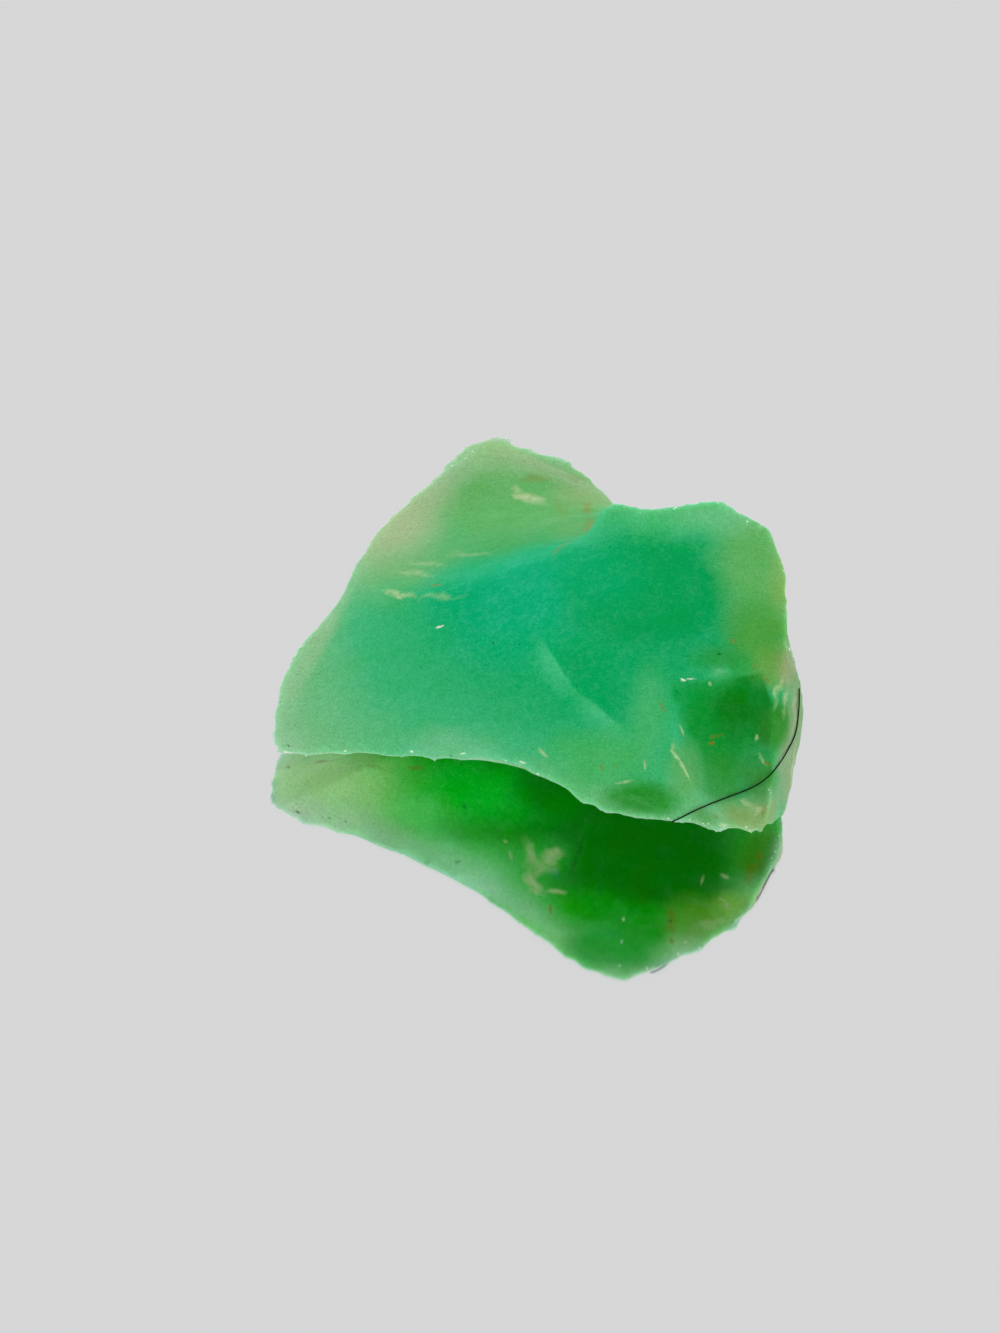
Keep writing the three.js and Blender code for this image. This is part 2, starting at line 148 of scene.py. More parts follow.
class StageSettings(bpy.types.PropertyGroup):
    """The floor, the light and the camera."""

    floor_size: length("Floor size", 3000, "Length of the floor's sides")
    floor_tint: colour("Floor colour", (248, 248, 249), "The pale floor's colour")
    floor_roughness: FloatProperty(
        name="Floor roughness", description="How much the polished floor blurs what it mirrors",
        default=0.06, min=0.0, max=1.0, subtype="FACTOR")
    sky_strength: FloatProperty(
        name="Soft light", description="Strength of the even light from above", default=0.72)
    wall_strength: FloatProperty(
        name="Wall light", description="Strength of the light near the horizon", default=1.6)
    elevation: FloatProperty(
        name="Camera elevation", description="How far above the horizon the camera stands",
        default=math.radians(48), subtype="ANGLE")
    roll: FloatProperty(
        name="Camera roll", description="How far the camera is turned about its line of sight",
        default=math.radians(5.4), subtype="ANGLE")
    distance: length("Camera distance", 251.4, "From the camera to the floor at the middle of its view")
    lens: FloatProperty(
        name="Lens", description="The camera's focal length", default=140.0, unit="CAMERA")


# -------------------------------------------------------------------------------- node trees


class Wire:
    """What comes out of a node. Arithmetic on it adds Math nodes."""

    def __init__(self, nodes, socket):
        self.nodes = nodes
        self.socket = socket

    def math(self, operation, first, second=0.0):
        """Adds a Math node."""
        return self.nodes.node("ShaderNodeMath", {"operation": operation}, {0: first, 1: second})

    def __add__(self, other):
        return self.math("ADD", self, other)

    def __radd__(self, other):
        return self.math("ADD", other, self)

    def __sub__(self, other):
        return self.math("SUBTRACT", self, other)

    def __rsub__(self, other):
        return self.math("SUBTRACT", other, self)

    def __mul__(self, other):
        return self.math("MULTIPLY", self, other)

    def __rmul__(self, other):
        return self.math("MULTIPLY", other, self)


class Nodes:
    """A node tree that begins empty, and the one way in which nodes are added to it."""

    def __init__(self, tree):
        self.tree = tree
        self.tree.nodes.clear()

    def node(self, kind, settings=None, sockets=None, output=0):
        """Adds a node, sets it up, fills or links its sockets, and gives one of its outputs."""
        made = self.tree.nodes.new(kind)
        for key, value in (settings or {}).items():
            if key == "stops":
                set_stops(made.color_ramp.elements, value)
            else:
                setattr(made, key, value)
        for key, value in (sockets or {}).items():
            if isinstance(value, Wire):
                self.tree.links.new(value.socket, made.inputs[key])
            else:
                made.inputs[key].default_value = value
        return Wire(self, made.outputs[output]) if made.outputs else None


def set_stops(ramp, stops):
    """Gives a colour ramp its stops, each a place from 0 to 1 and a colour."""
    while len(ramp) < len(stops):
        ramp.new(1.0)
    for stop, (place, shade) in zip(ramp, stops):
        stop.position = place
        stop.color = (*shade, 1.0)


class ShapeNodes(Nodes):
    """A geometry node tree with named inputs, which ends in real geometry with a material."""

    def __init__(self, name, inputs):
        super().__init__(bpy.data.node_groups.new(name, "GeometryNodeTree"))
        inputs = {"Geometry": "NodeSocketGeometry", **inputs}
        for key, kind in inputs.items():
            self.tree.interface.new_socket(key, in_out="INPUT", socket_type=kind)
        self.tree.interface.new_socket(
            "Geometry", in_out="OUTPUT", socket_type="NodeSocketGeometry")
        sockets = self.tree.nodes.new("NodeGroupInput").outputs
        self.given = {key: Wire(self, sockets[key]) for key in inputs}

    def finish(self, geometry):
        """Ends the tree, with the material of the input named Finish on everything."""
        real = self.node("GeometryNodeRealizeInstances", None, {"Geometry": geometry})
        dressed = self.node("GeometryNodeSetMaterial", None, {
            "Geometry": real, "Material": self.given["Finish"]})
        self.node("NodeGroupOutput", None, {"Geometry": dressed})
        return self.tree


def add_nodes(piece, tree, values):
    """Puts a node tree on an object as a modifier, with values for its named inputs."""
    modifier = piece.modifiers.new(tree.name, "NODES")
    modifier.node_group = tree
    for item in tree.interface.items_tree:
        if item.in_out == "INPUT" and item.name in values:
            modifier[item.identifier] = values[item.name]


def plain_mesh(piece):
    """The piece's shape with its modifiers, as a plain mesh."""
    evaluated = piece.evaluated_get(bpy.context.evaluated_depsgraph_get())
    return bpy.data.meshes.new_from_object(evaluated)


# ------------------------------------------------------------------------------------- shape

HALFWAY = 0.5  # smoothing moves a value this share of the way to the mean of its neighbours


class Surface:
    """A closed fine mesh, in millimetres: its points, its four-sided faces and its edges."""

    def __init__(self, mesh):
        self.co = np.empty((len(mesh.vertices), 3))
        mesh.vertices.foreach_get("co", self.co.ravel())
        self.faces = np.array([face.vertices[:] for face in mesh.polygons])
        self.edges = np.array([edge.vertices[:] for edge in mesh.edges])
        self.degree = np.bincount(self.edges.ravel(), minlength=len(self.co))

    def around(self, values):
        """The mean of a value over the points next to each point."""
        ends = self.edges
        columns = values.reshape(len(values), -1)
        total = np.empty_like(columns)
        for k in range(columns.shape[1]):
            total[:, k] = np.bincount(ends[:, 0], columns[ends[:, 1], k], len(columns))
            total[:, k] += np.bincount(ends[:, 1], columns[ends[:, 0], k], len(columns))
        return (total / self.degree[:, None]).reshape(values.shape)

    def smooth(self, rounds, weight):
        """Moves each point towards its neighbours, by its weight."""
        for _ in range(rounds):
            self.co += weight[:, None] * (self.around(self.co) - self.co)

    def normals(self):
        """The unit normal at each point."""
        corner = self.co[self.faces]
        across = np.cross(corner[:, 2] - corner[:, 0], corner[:, 3] - corner[:, 1])
        total = np.empty_like(self.co)
        for k in range(3):
            total[:, k] = np.bincount(
                self.faces.ravel(), np.repeat(across[:, k], 4), len(self.co))
        return total / np.linalg.norm(total, axis=1)[:, None]

    def lift(self, height):
        """Moves each point along its normal."""
        self.co += self.normals() * height[:, None]


def smooth_step(value, low, high):
    """0 below low, 1 above high, and smooth between."""
    share = np.clip((value - low) / (high - low), 0, 1)
    return share * share * (3 - 2 * share)


def within(place, boxes):
    """Whether a place lies in one of the boxes, each given by its low and its high corner."""
    return any(all(low[k] <= place[k] <= high[k] for k in range(3)) for low, high in boxes)


SEED_SHIFT = 17.3  # how far apart the noise of one seed is from that of the next
OCTAVE_FADE = 1.0  # how fast the finer bumps lose height
OCTAVE_STEP = 2.0  # how many times finer each octave's bumps are than those of the one before


def noise_at(points, size, octaves, seed):
    """Smooth noise from about -1 to 1 at each point. size is how far apart its bumps are, one for
    every direction or one for each of X, Y and Z."""
    places = points / np.asarray(size) + seed * SEED_SHIFT
    return np.array([noise.fractal(place, OCTAVE_FADE, OCTAVE_STEP, octaves) for place in places])


WELD_DISTANCE = 1e-3  # millimetres: corners closer than this are one corner


def welded_node():
    """A copy of the CAD node's mesh with its triangles joined up, in millimetres."""
    shape = bmesh.new()
    shape.from_mesh(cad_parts[NODE].data)
    bmesh.ops.scale(shape, vec=(1 / MM,) * 3, verts=shape.verts)
    bmesh.ops.remove_doubles(shape, verts=shape.verts, dist=WELD_DISTANCE)
    shape.normal_update()
    return shape


def ridge_lines(shape, angle, step):
    """Points along the ridges that stick out, each with the normals of its two faces, and points
    along the creases that go in."""
    ridges, creases = [], []
    for edge in shape.edges:
        turn = edge.calc_face_angle_signed(0.0)
        if abs(turn) < angle:
            continue
        start, end = (corner.co for corner in edge.verts)
        count = max(1, round((end - start).length / step))
        faces = [face.normal.copy() for face in edge.link_faces]
        for i in range(count):
            place = start.lerp(end, (i + 0.5) / count)
            if turn > 0:
                ridges.append({"at": place, "faces": faces})
            else:
                creases.append(place)
    return ridges, creases


def tree_of(places):
    """A search tree of places."""
    tree = KDTree(len(places))
    for i, place in enumerate(places):
        tree.insert(place, i)
    tree.balance()
    return tree


def distance_to(tree, points):
    """How far each point is from the nearest place in the tree."""
    return np.array([tree.find(point)[2] for point in points])


def fine_surface(shape, balls, step):
    """The welded shape, chipped and then remeshed with even four-sided faces."""
    mesh = bpy.data.meshes.new("rough")
    shape.to_mesh(mesh)
    rough = bpy.data.objects.new("rough", mesh)
    points = bpy.data.meshes.new("chips")
    points.from_pydata([place for place, _ in balls], [], [])
    points.attributes.new("radius", "FLOAT", "POINT").data.foreach_set(
        "value", [radius for _, radius in balls])
    chips = bpy.data.objects.new("chips", points)
    for item in (rough, chips):
        bpy.context.scene.collection.objects.link(item)
    add_nodes(rough, chip_tree(), {"Chips": chips, "Ball detail": 3})
    remesh = rough.modifiers.new("remesh", "REMESH")
    remesh.mode = "VOXEL"
    remesh.voxel_size = step
    fine = plain_mesh(rough)
    surface = Surface(fine)
    for item in (rough, chips):
        bpy.data.objects.remove(item)
    for leftover in (mesh, points, fine):
        bpy.data.meshes.remove(leftover)
    return surface


# Where the stone was struck: the middle of the rings of ripples, the way its face looks, how far
# apart the ripples are and how far out they run.
BLOWS = (
    {"at": (12.0, -5.0, 8.6), "facing": (0.3, -0.8, 0.5), "spacing": 0.9, "reach": 5.0},
    {"at": (1.5, 4.5, 6.5), "facing": (-0.1, 0.2, 1.0), "spacing": 1.5, "reach": 9.0},
    {"at": (8.0, 3.5, 11.0), "facing": (0.1, 0.9, 0.4), "spacing": 1.3, "reach": 11.0},
    {"at": (4.0, -12.0, 6.0), "facing": (0.1, -0.6, -0.8), "spacing": 1.4, "reach": 9.0},
    {"at": (-12.0, -3.0, 2.4), "facing": (0.0, -0.5, -0.9), "spacing": 1.2, "reach": 8.0},
    {"at": (-4.0, 12.0, 4.0), "facing": (-0.2, 0.4, -0.9), "spacing": 1.2, "reach": 9.0},
)
RIPPLE_SEED = 40
RIPPLE_WAVER = 0.5  # how far the rings stray from round, as a share of their spacing


def ripples(surface, height):
    """The faint rings that run out from each blow, over the face that it broke."""
    normals = surface.normals()
    total = np.zeros(len(surface.co))
    for i, blow in enumerate(BLOWS):
        away = np.linalg.norm(surface.co - blow["at"], axis=1)
        facing = Vector(blow["facing"]).normalized()
        same_face = smooth_step(normals @ np.array(facing), low=0.55, high=0.85)
        near = np.nonzero((away < blow["reach"]) & (same_face > 0))[0]
        waver = noise_at(surface.co[near], size=2.5, octaves=2, seed=RIPPLE_SEED + i)
        turns = away[near] / blow["spacing"] + RIPPLE_WAVER * waver
        fade = (1 - away[near] / blow["reach"]) * smooth_step(away[near], low=0.3, high=1.5)
        total[near] += fade * same_face[near] * np.sin(2 * math.pi * turns)
    return height * total


SPLIT_DEPTH = 0.6  # how deep the narrow splits between the streaks are, beside the streaks' height


def hackles(surface, height):
    """The rough streaks down the steep right side."""
    normals = surface.normals()
    facing = smooth_step(normals[:, 0], low=0.5, high=0.85)
    facing *= smooth_step(-surface.co[:, 1], low=-2.5, high=1.0)
    near = np.nonzero(facing > 0)[0]
    places = surface.co[near]
    streaks = noise_at(places, size=(0.5, 0.55, 3.2), octaves=3, seed=7)
    splits = np.abs(noise_at(places, size=(0.4, 0.3, 1.6), octaves=2, seed=8))
    total = np.zeros(len(surface.co))
    total[near] = facing[near] * (streaks - SPLIT_DEPTH * splits)
    return height * total


# Small chips along the ridges: the box of the ridges that they are on, how many there are to a
# millimetre, the least and the greatest radius of the ball that fits a chip's hollow, and how deep
# it cuts. Where upper is given, the chips break away from the upper face only.
CHIP_RUNS = (
    {"box": ((-13, -9, 1), (2, -7, 6)), "rate": 1.0, "ball": (0.5, 1.6), "depth": (0.02, 0.08)},
    {"box": ((2, -13, 4), (7.5, -11.4, 7)), "rate": 0.7, "ball": (0.4, 1.0), "depth": (0.02, 0.06)},
    {"box": ((7.5, -13, 2), (12, -9, 6)), "rate": 1.6, "ball": (0.4, 1.4), "depth": (0.04, 0.14)},
    {"box": ((-13, -7, 1), (-8, 4.5, 5)), "rate": 0.9, "ball": (0.5, 1.8), "depth": (0.02, 0.09)},
    {"box": ((-10, 4.5, 2), (4, 10, 5)), "rate": 0.9, "ball": (0.5, 1.8), "depth": (0.03, 0.1)},
    {"box": ((1, -2, 8), (12, 4, 12)), "rate": 0.6, "ball": (0.4, 1.2), "depth": (0.02, 0.06)},
    {"box": ((10, -9, 0), (13, 4, 10)), "rate": 1.0, "ball": (0.5, 1.6), "depth": (0.03, 0.1)},
    {"box": ((3, 0, 0), (13, 10, 8)), "rate": 1.0, "ball": (0.8, 2.4), "depth": (0.05, 0.2)},
    {"box": ((-13, -9, 1), (1.5, -6.4, 5.5)), "rate": 0.6, "ball": (1.0, 2.4), "depth": (0.1, 0.24),
     "upper": True},
)
RIDGE_STEP = 0.1  # spacing of the points along the ridges, in millimetres
CHIP_SEED = 5
CHIP_LEAN = 0.08  # how far a chip leans away from its face's normal, by chance
DEEPEST_CUT = 1.5  # how deep a ball may cut at most, in times the depth of its chip


def chip_balls(ridges, tree):
    """The middle and the radius of the ball that fits each chip. A chip breaks away from one of
    the two faces that meet at the ridge. A ball that would cut deeper elsewhere is left out."""
    dice = random.Random(CHIP_SEED)
    balls = []
    for run in CHIP_RUNS:
        inside = [ridge for ridge in ridges if within(ridge["at"], (run["box"],))]
        count = min(len(inside), round(len(inside) * RIDGE_STEP * run["rate"]))
        for ridge in dice.sample(inside, count):
            radius = dice.uniform(*run["ball"])
            depth = dice.uniform(*run["depth"])
            if "upper" in run:
                face = max(ridge["faces"], key=lambda normal: normal.z)
            else:
                face = dice.choice(ridge["faces"])
            tilt = Vector([dice.gauss(0, CHIP_LEAN) for _ in range(3)])
            middle = ridge["at"] + (face + tilt).normalized() * (radius - depth)
            if tree.find_nearest(middle)[3] > radius - DEEPEST_CUT * depth:
                balls.append((middle, radius))
    return balls


def chip_tree():
    """The node tree that takes a ball out of the stone at each point of the object of chips."""
    tree = ShapeNodes("edge chips", {
        "Chips": "NodeSocketObject", "Ball detail": "NodeSocketInt", "Finish": "NodeSocketMaterial"})
    chips = tree.node("GeometryNodeObjectInfo", None, {"Object": tree.given["Chips"]}, "Geometry")
    ball = tree.node("GeometryNodeMeshIcoSphere", None, {
        "Radius": 1.0, "Subdivisions": tree.given["Ball detail"]}, "Mesh")
    radius = tree.node("GeometryNodeInputNamedAttribute", {"data_type": "FLOAT"}, {
        "Name": "radius"}, "Attribute")
    balls = tree.node("GeometryNodeInstanceOnPoints", None, {
        "Points": chips, "Instance": ball, "Scale": radius}, "Instances")
    chipped = tree.node("GeometryNodeMeshBoolean", {"operation": "DIFFERENCE", "solver": "MANIFOLD"}, {
        "Mesh 1": tree.given["Geometry"], "Mesh 2": balls}, "Mesh")
    return tree.finish(chipped)


# Where the ridges and the creases are soft and rounded: the low and the high corner of each box.
SOFT_PLACES = (
    ((-1.5, 0.5, 4.5), (3.0, 9.0, 10.0)),
    ((4.8, -9.0, 6.4), (8.0, -5.2, 10.0)),
    ((8.6, -6.2, 7.4), (11.2, -2.6, 9.8)),
    ((-1.0, -9.0, 7.0), (4.5, -4.0, 9.0)),
)
# Where a sharp ridge isn't paler than the faces beside it.
CLEAN_PLACES = (((9.5, -8.6, 4.2), (12.0, -5.0, 8.4)),)
# Gentle bends that bring the surface closer to the broken stone's outline: the middle of each, how
# far it reaches and how far the surface moves.
BENDS = (
    {"at": (-4.0, 12.0, 4.3), "reach": 4.8, "by": (-0.45, 0.3, 0.0)},
    {"at": (-6.6, 9.6, 4.2), "reach": 2.8, "by": (-0.1, 0.2, 0.0)},
    {"at": (8.6, -11.3, 4.6), "reach": 3.4, "by": (0.1, -0.35, 0.0)},
    {"at": (9.4, 2.6, 10.8), "reach": 2.4, "by": (0.0, 0.3, 0.1)},
    {"at": (12.0, -4.8, 6.0), "reach": 4.0, "by": (0.28, 0.0, 0.0)},
    {"at": (-12.2, -5.4, 1.6), "reach": 3.6, "by": (-0.24, -0.2, 0.06)},
    {"at": (-10.4, -0.4, 3.6), "reach": 4.5, "by": (-0.2, 0.05, 0.0)},
    {"at": (5.0, 3.2, 10.4), "reach": 5.0, "by": (0.0, 0.15, 0.02)},
    {"at": (-0.4, 11.4, 4.0), "reach": 4.0, "by": (0.1, 0.22, 0.0)},
    {"at": (10.6, -10.2, 3.4), "reach": 2.6, "by": (0.1, -0.26, 0.13)},
    {"at": (12.0, -7.4, 2.0), "reach": 2.5, "by": (0.2, 0.0, 0.0)},
)


def bend(surface):
    """Moves the surface by the gentle bends."""
    for move in BENDS:
        away = np.linalg.norm(surface.co - move["at"], axis=1)
        share = smooth_step(-away, low=-move["reach"], high=0)
        surface.co += share[:, None] * np.array(move["by"])


THICKEST = 8.0  # millimetres: stone thicker than this looks no deeper
SIGHT_LINES = 14  # lines of sight from each point into the stone
SIGHT_START = 0.02  # how far inside the surface they start, in millimetres
BLUR_ROUNDS = 40  # rounds that even the thickness out from point to point
LEVEL = 0.8  # a surface whose normal's Z is beyond this counts as level
GOLDEN_ANGLE = math.radians(137.5)


def inward_ways(count):
    """Directions spread evenly over the half of space below a surface that looks up, as the share
    of each along two axes in the surface and along its normal."""
    ways = []
    for i in range(count):
        share = (i + 0.5) / count
        turn = i * GOLDEN_ANGLE
        lean = math.sqrt(share)
        ways.append((lean * math.cos(turn), lean * math.sin(turn), -math.sqrt(1 - share)))
    return ways


def thickness_of(surface):
    """How much stone lies behind each point: the mean over the lines of sight into the stone."""
    normals = surface.normals()
    tree = BVHTree.FromPolygons(surface.co.tolist(), surface.faces.tolist())
    level = np.abs(normals[:, 2:]) > LEVEL
    side = np.cross(normals, np.where(level, (1.0, 0.0, 0.0), (0.0, 0.0, 1.0)))
    side /= np.linalg.norm(side, axis=1)[:, None]
    other = np.cross(normals, side)
    origins = [Vector(place) for place in surface.co - SIGHT_START * normals]
    total = np.zeros(len(origins))
    for a, b, c in inward_ways(SIGHT_LINES):
        for i, way in enumerate((a * side + b * other + c * normals).tolist()):
            reach = tree.ray_cast(origins[i], way, THICKEST)[3]
            total[i] += THICKEST if reach is None else reach
    depth = total / SIGHT_LINES
    for _ in range(BLUR_ROUNDS):
        depth += HALFWAY * (surface.around(depth) - depth)
    return depth


LEAST_WORK = 0.12  # the share of the smoothing that the sharp ridges still get
CREASE_LEAD = 0.1  # millimetres by which creases are softer than ridges
RIDGE_WIDTH = 0.05  # millimetres from a ridge where nothing but that share is done
WORN_AND_SHEEN_WIDTH = 0.16  # how fast the pale line along a sharp ridge (partly wear, partly painted sheen) fades away from it, in millimetres


def away_from_ridges(free, at_ridges):
    """A share that is 1 on the open faces and smaller at the sharp ridges."""
    return at_ridges + (1 - at_ridges) * free


def stone_surface(settings):
    """The finished fine surface, with the attributes that its material reads."""
    shape = welded_node()
    ridges, creases = ridge_lines(shape, settings.ridge_angle, RIDGE_STEP)
    # Points on the sharpest ridges, which carry the pale line of wear and painted sheen.
    worn = [ridge["at"] for ridge in ridge_lines(shape, settings.sharp_angle, RIDGE_STEP)[0]
            if not within(ridge["at"], SOFT_PLACES + CLEAN_PLACES)]
    balls = chip_balls(ridges, BVHTree.FromBMesh(shape))
    surface = fine_surface(shape, balls, settings.mesh_step / MM)
    shape.free()
    crisp = [ridge["at"] for ridge in ridges if not within(ridge["at"], SOFT_PLACES)]
    to_ridge = distance_to(tree_of(crisp), surface.co)
    to_crease = distance_to(tree_of([at for at in creases if not within(at, SOFT_PLACES)]), surface.co)
    free = smooth_step(
        np.minimum(to_ridge, to_crease + CREASE_LEAD), RIDGE_WIDTH, settings.ridge_reach / MM)
    surface.smooth(settings.smoothing_rounds, HALFWAY * away_from_ridges(free, LEAST_WORK))
    swell = settings.swell_height * noise_at(surface.co, size=3.6, octaves=3, seed=1)
    grain = settings.grain_height * noise_at(surface.co, size=0.55, octaves=3, seed=2)
    surface.lift((swell + grain) / MM * away_from_ridges(free, 0.3))
    surface.lift(ripples(surface, settings.ripple_height / MM) * away_from_ridges(free, 0.2))
    surface.lift(hackles(surface, settings.hackle_height / MM))
    bend(surface)
    low, high = (np.array(corner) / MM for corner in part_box(NODE))
    surface.co = np.clip(surface.co, low, high)
    return surface, {
        "thickness": thickness_of(surface),
        "underside": smooth_step(-surface.normals()[:, 2], low=-0.05, high=0.3),
        # Nearness to the sharpest ridges: it carries their pale line of wear and painted sheen.
        "edge": np.exp(-distance_to(tree_of(worn), surface.co) / WORN_AND_SHEEN_WIDTH),
    }


def mesh_of(surface, name, attributes):
    """A smooth-shaded mesh of the surface, in metres, with its attributes."""
    mesh = bpy.data.meshes.new(name)
    mesh.from_pydata((surface.co * MM).tolist(), [], surface.faces.tolist())
    mesh.shade_smooth()
    for key, values in attributes.items():
        layer = mesh.attributes.new(key, "FLOAT", "POINT")
        layer.data.foreach_set("value", values.astype(np.float32))
    return mesh


# -------------------------------------------------------------------------------------- hair

# Points that the hair passes over, in millimetres, from its end at the front rim.
HAIR_PATH = (
    (6.50, -12.10, 5.40), (6.98, -11.78, 5.43), (7.52, -11.20, 5.32), (8.22, -10.33, 4.84),
    (8.92, -9.58, 4.49), (9.57, -9.03, 4.30), (10.21, -8.59, 4.24), (10.74, -8.31, 4.50),
    (11.24, -7.98, 4.97), (11.81, -6.10, 4.32), (12.05, -5.41, 4.49), (12.13, -5.19, 4.62),
    (12.14, -4.74, 5.24), (12.12, -4.40, 5.90), (12.04, -4.10, 6.50),
)
HAIR_POINTS = 70
HAIR_LEAN = Vector((0.0, -0.67, 0.74))  # the way in which the hair stands off the stone
HAIR_DROP = 4.0  # how far off the stone it is let down from, in millimetres
HAIR_GAP = 2.2  # the least height of its middle line over the stone, in radii
NEARBY = 2  # points on each side that share a point's lift


def hair_tree():
    """The node tree that turns a line of points into a thin round hair."""
    tree = ShapeNodes("hair", {
        "Radius": "NodeSocketFloat", "Length steps": "NodeSocketInt",
        "Finish": "NodeSocketMaterial"})
    line = tree.node("GeometryNodeMeshToCurve", None, {"Mesh": tree.given["Geometry"]}, "Curve")
    soft = tree.node("GeometryNodeCurveSplineType", {"spline_type": "CATMULL_ROM"}, {
        "Curve": line}, "Curve")
    even = tree.node("GeometryNodeResampleCurve", None, {
        "Curve": soft, "Count": tree.given["Length steps"]}, "Curve")
    ring = tree.node("GeometryNodeCurvePrimitiveCircle", None, {
        "Resolution": 8, "Radius": tree.given["Radius"]}, "Curve")
    hair = tree.node("GeometryNodeCurveToMesh", None, {
        "Curve": even, "Profile Curve": ring, "Fill Caps": True}, "Mesh")
    return tree.finish(hair)


def softened(values, rounds):
    """A line of values or points with its bends evened out and its ends kept."""
    values = np.array(values, dtype=float)
    for _ in range(rounds):
        values[1:-1] += HALFWAY * ((values[:-2] + values[2:]) / 2 - values[1:-1])
    return values


def hair_line(surface_tree, radius):
    """The hair's path: a smooth line that bridges the dips and stays clear of the surface."""
    path = np.array(HAIR_PATH)
    steps = np.linspace(0, len(path) - 1, HAIR_POINTS)
    path = np.stack([np.interp(steps, range(len(path)), path[:, k]) for k in range(3)], axis=1)
    path = softened(path, rounds=20)
    lifts = []
    for place in path:
        high = Vector(place) + HAIR_DROP * HAIR_LEAN
        reach = surface_tree.ray_cast(high, -HAIR_LEAN, HAIR_DROP)[3]
        lifts.append(HAIR_GAP * radius + (0.0 if reach is None else HAIR_DROP - reach))
    lifts = [max(lifts[max(0, i - NEARBY):i + NEARBY + 1]) for i in range(len(lifts))]
    path += softened(lifts, rounds=24)[:, None] * np.array(HAIR_LEAN)
    mesh = bpy.data.meshes.new("hair line")
    mesh.from_pydata((path * MM).tolist(), [], [])
    mesh.edges.add(HAIR_POINTS - 1)
    mesh.edges.foreach_set("vertices", [i + k for i in range(HAIR_POINTS - 1) for k in (0, 1)])
    return mesh


# --------------------------------------------------------------------------------- materials


# A Mix node has sockets for each kind of value. These are the ones for colours.
MIX_UNDER = 6
MIX_OVER = 7
MIX_RESULT = 2


class Shader(Nodes):
    """The node tree of a material or of the world."""

    def step(self, value, low, high, most=1.0):
        """0 below low, the most above high, and smooth between."""
        return self.node("ShaderNodeMapRange", {"interpolation_type": "SMOOTHSTEP"}, {
            "Value": value, "From Min": low, "From Max": high, "To Max": most})

    def blend(self, share, under, over):
        """The colour under, with the colour over on top of it by the share."""
        under, over = (
            shade if isinstance(shade, Wire) else (*shade, 1.0) for shade in (under, over))
        return self.node("ShaderNodeMix", {"data_type": "RGBA"}, {
            "Factor": share, MIX_UNDER: under, MIX_OVER: over}, MIX_RESULT)


# The colours that go with how thick the stone is, in millimetres.
TOP_SHADES = (
    (0.0, "top_rim"), (1.1, "top_thin"), (2.4, "top_pale"), (5.0, "top_body"), (7.4, "top_deep"))
UNDERSIDE_SHADES = (
    (0.0, "under_rim"), (1.1, "under_thin"), (3.0, "under_pale"), (5.0, "under_body"),
    (7.4, "under_deep"))
TOP_LIGHT = 0.82  # how bright a white face on top would look in the stage's light, from 0 to 1
UNDERSIDE_LIGHT = 0.47  # the same for the underside, which shows in the polished floor

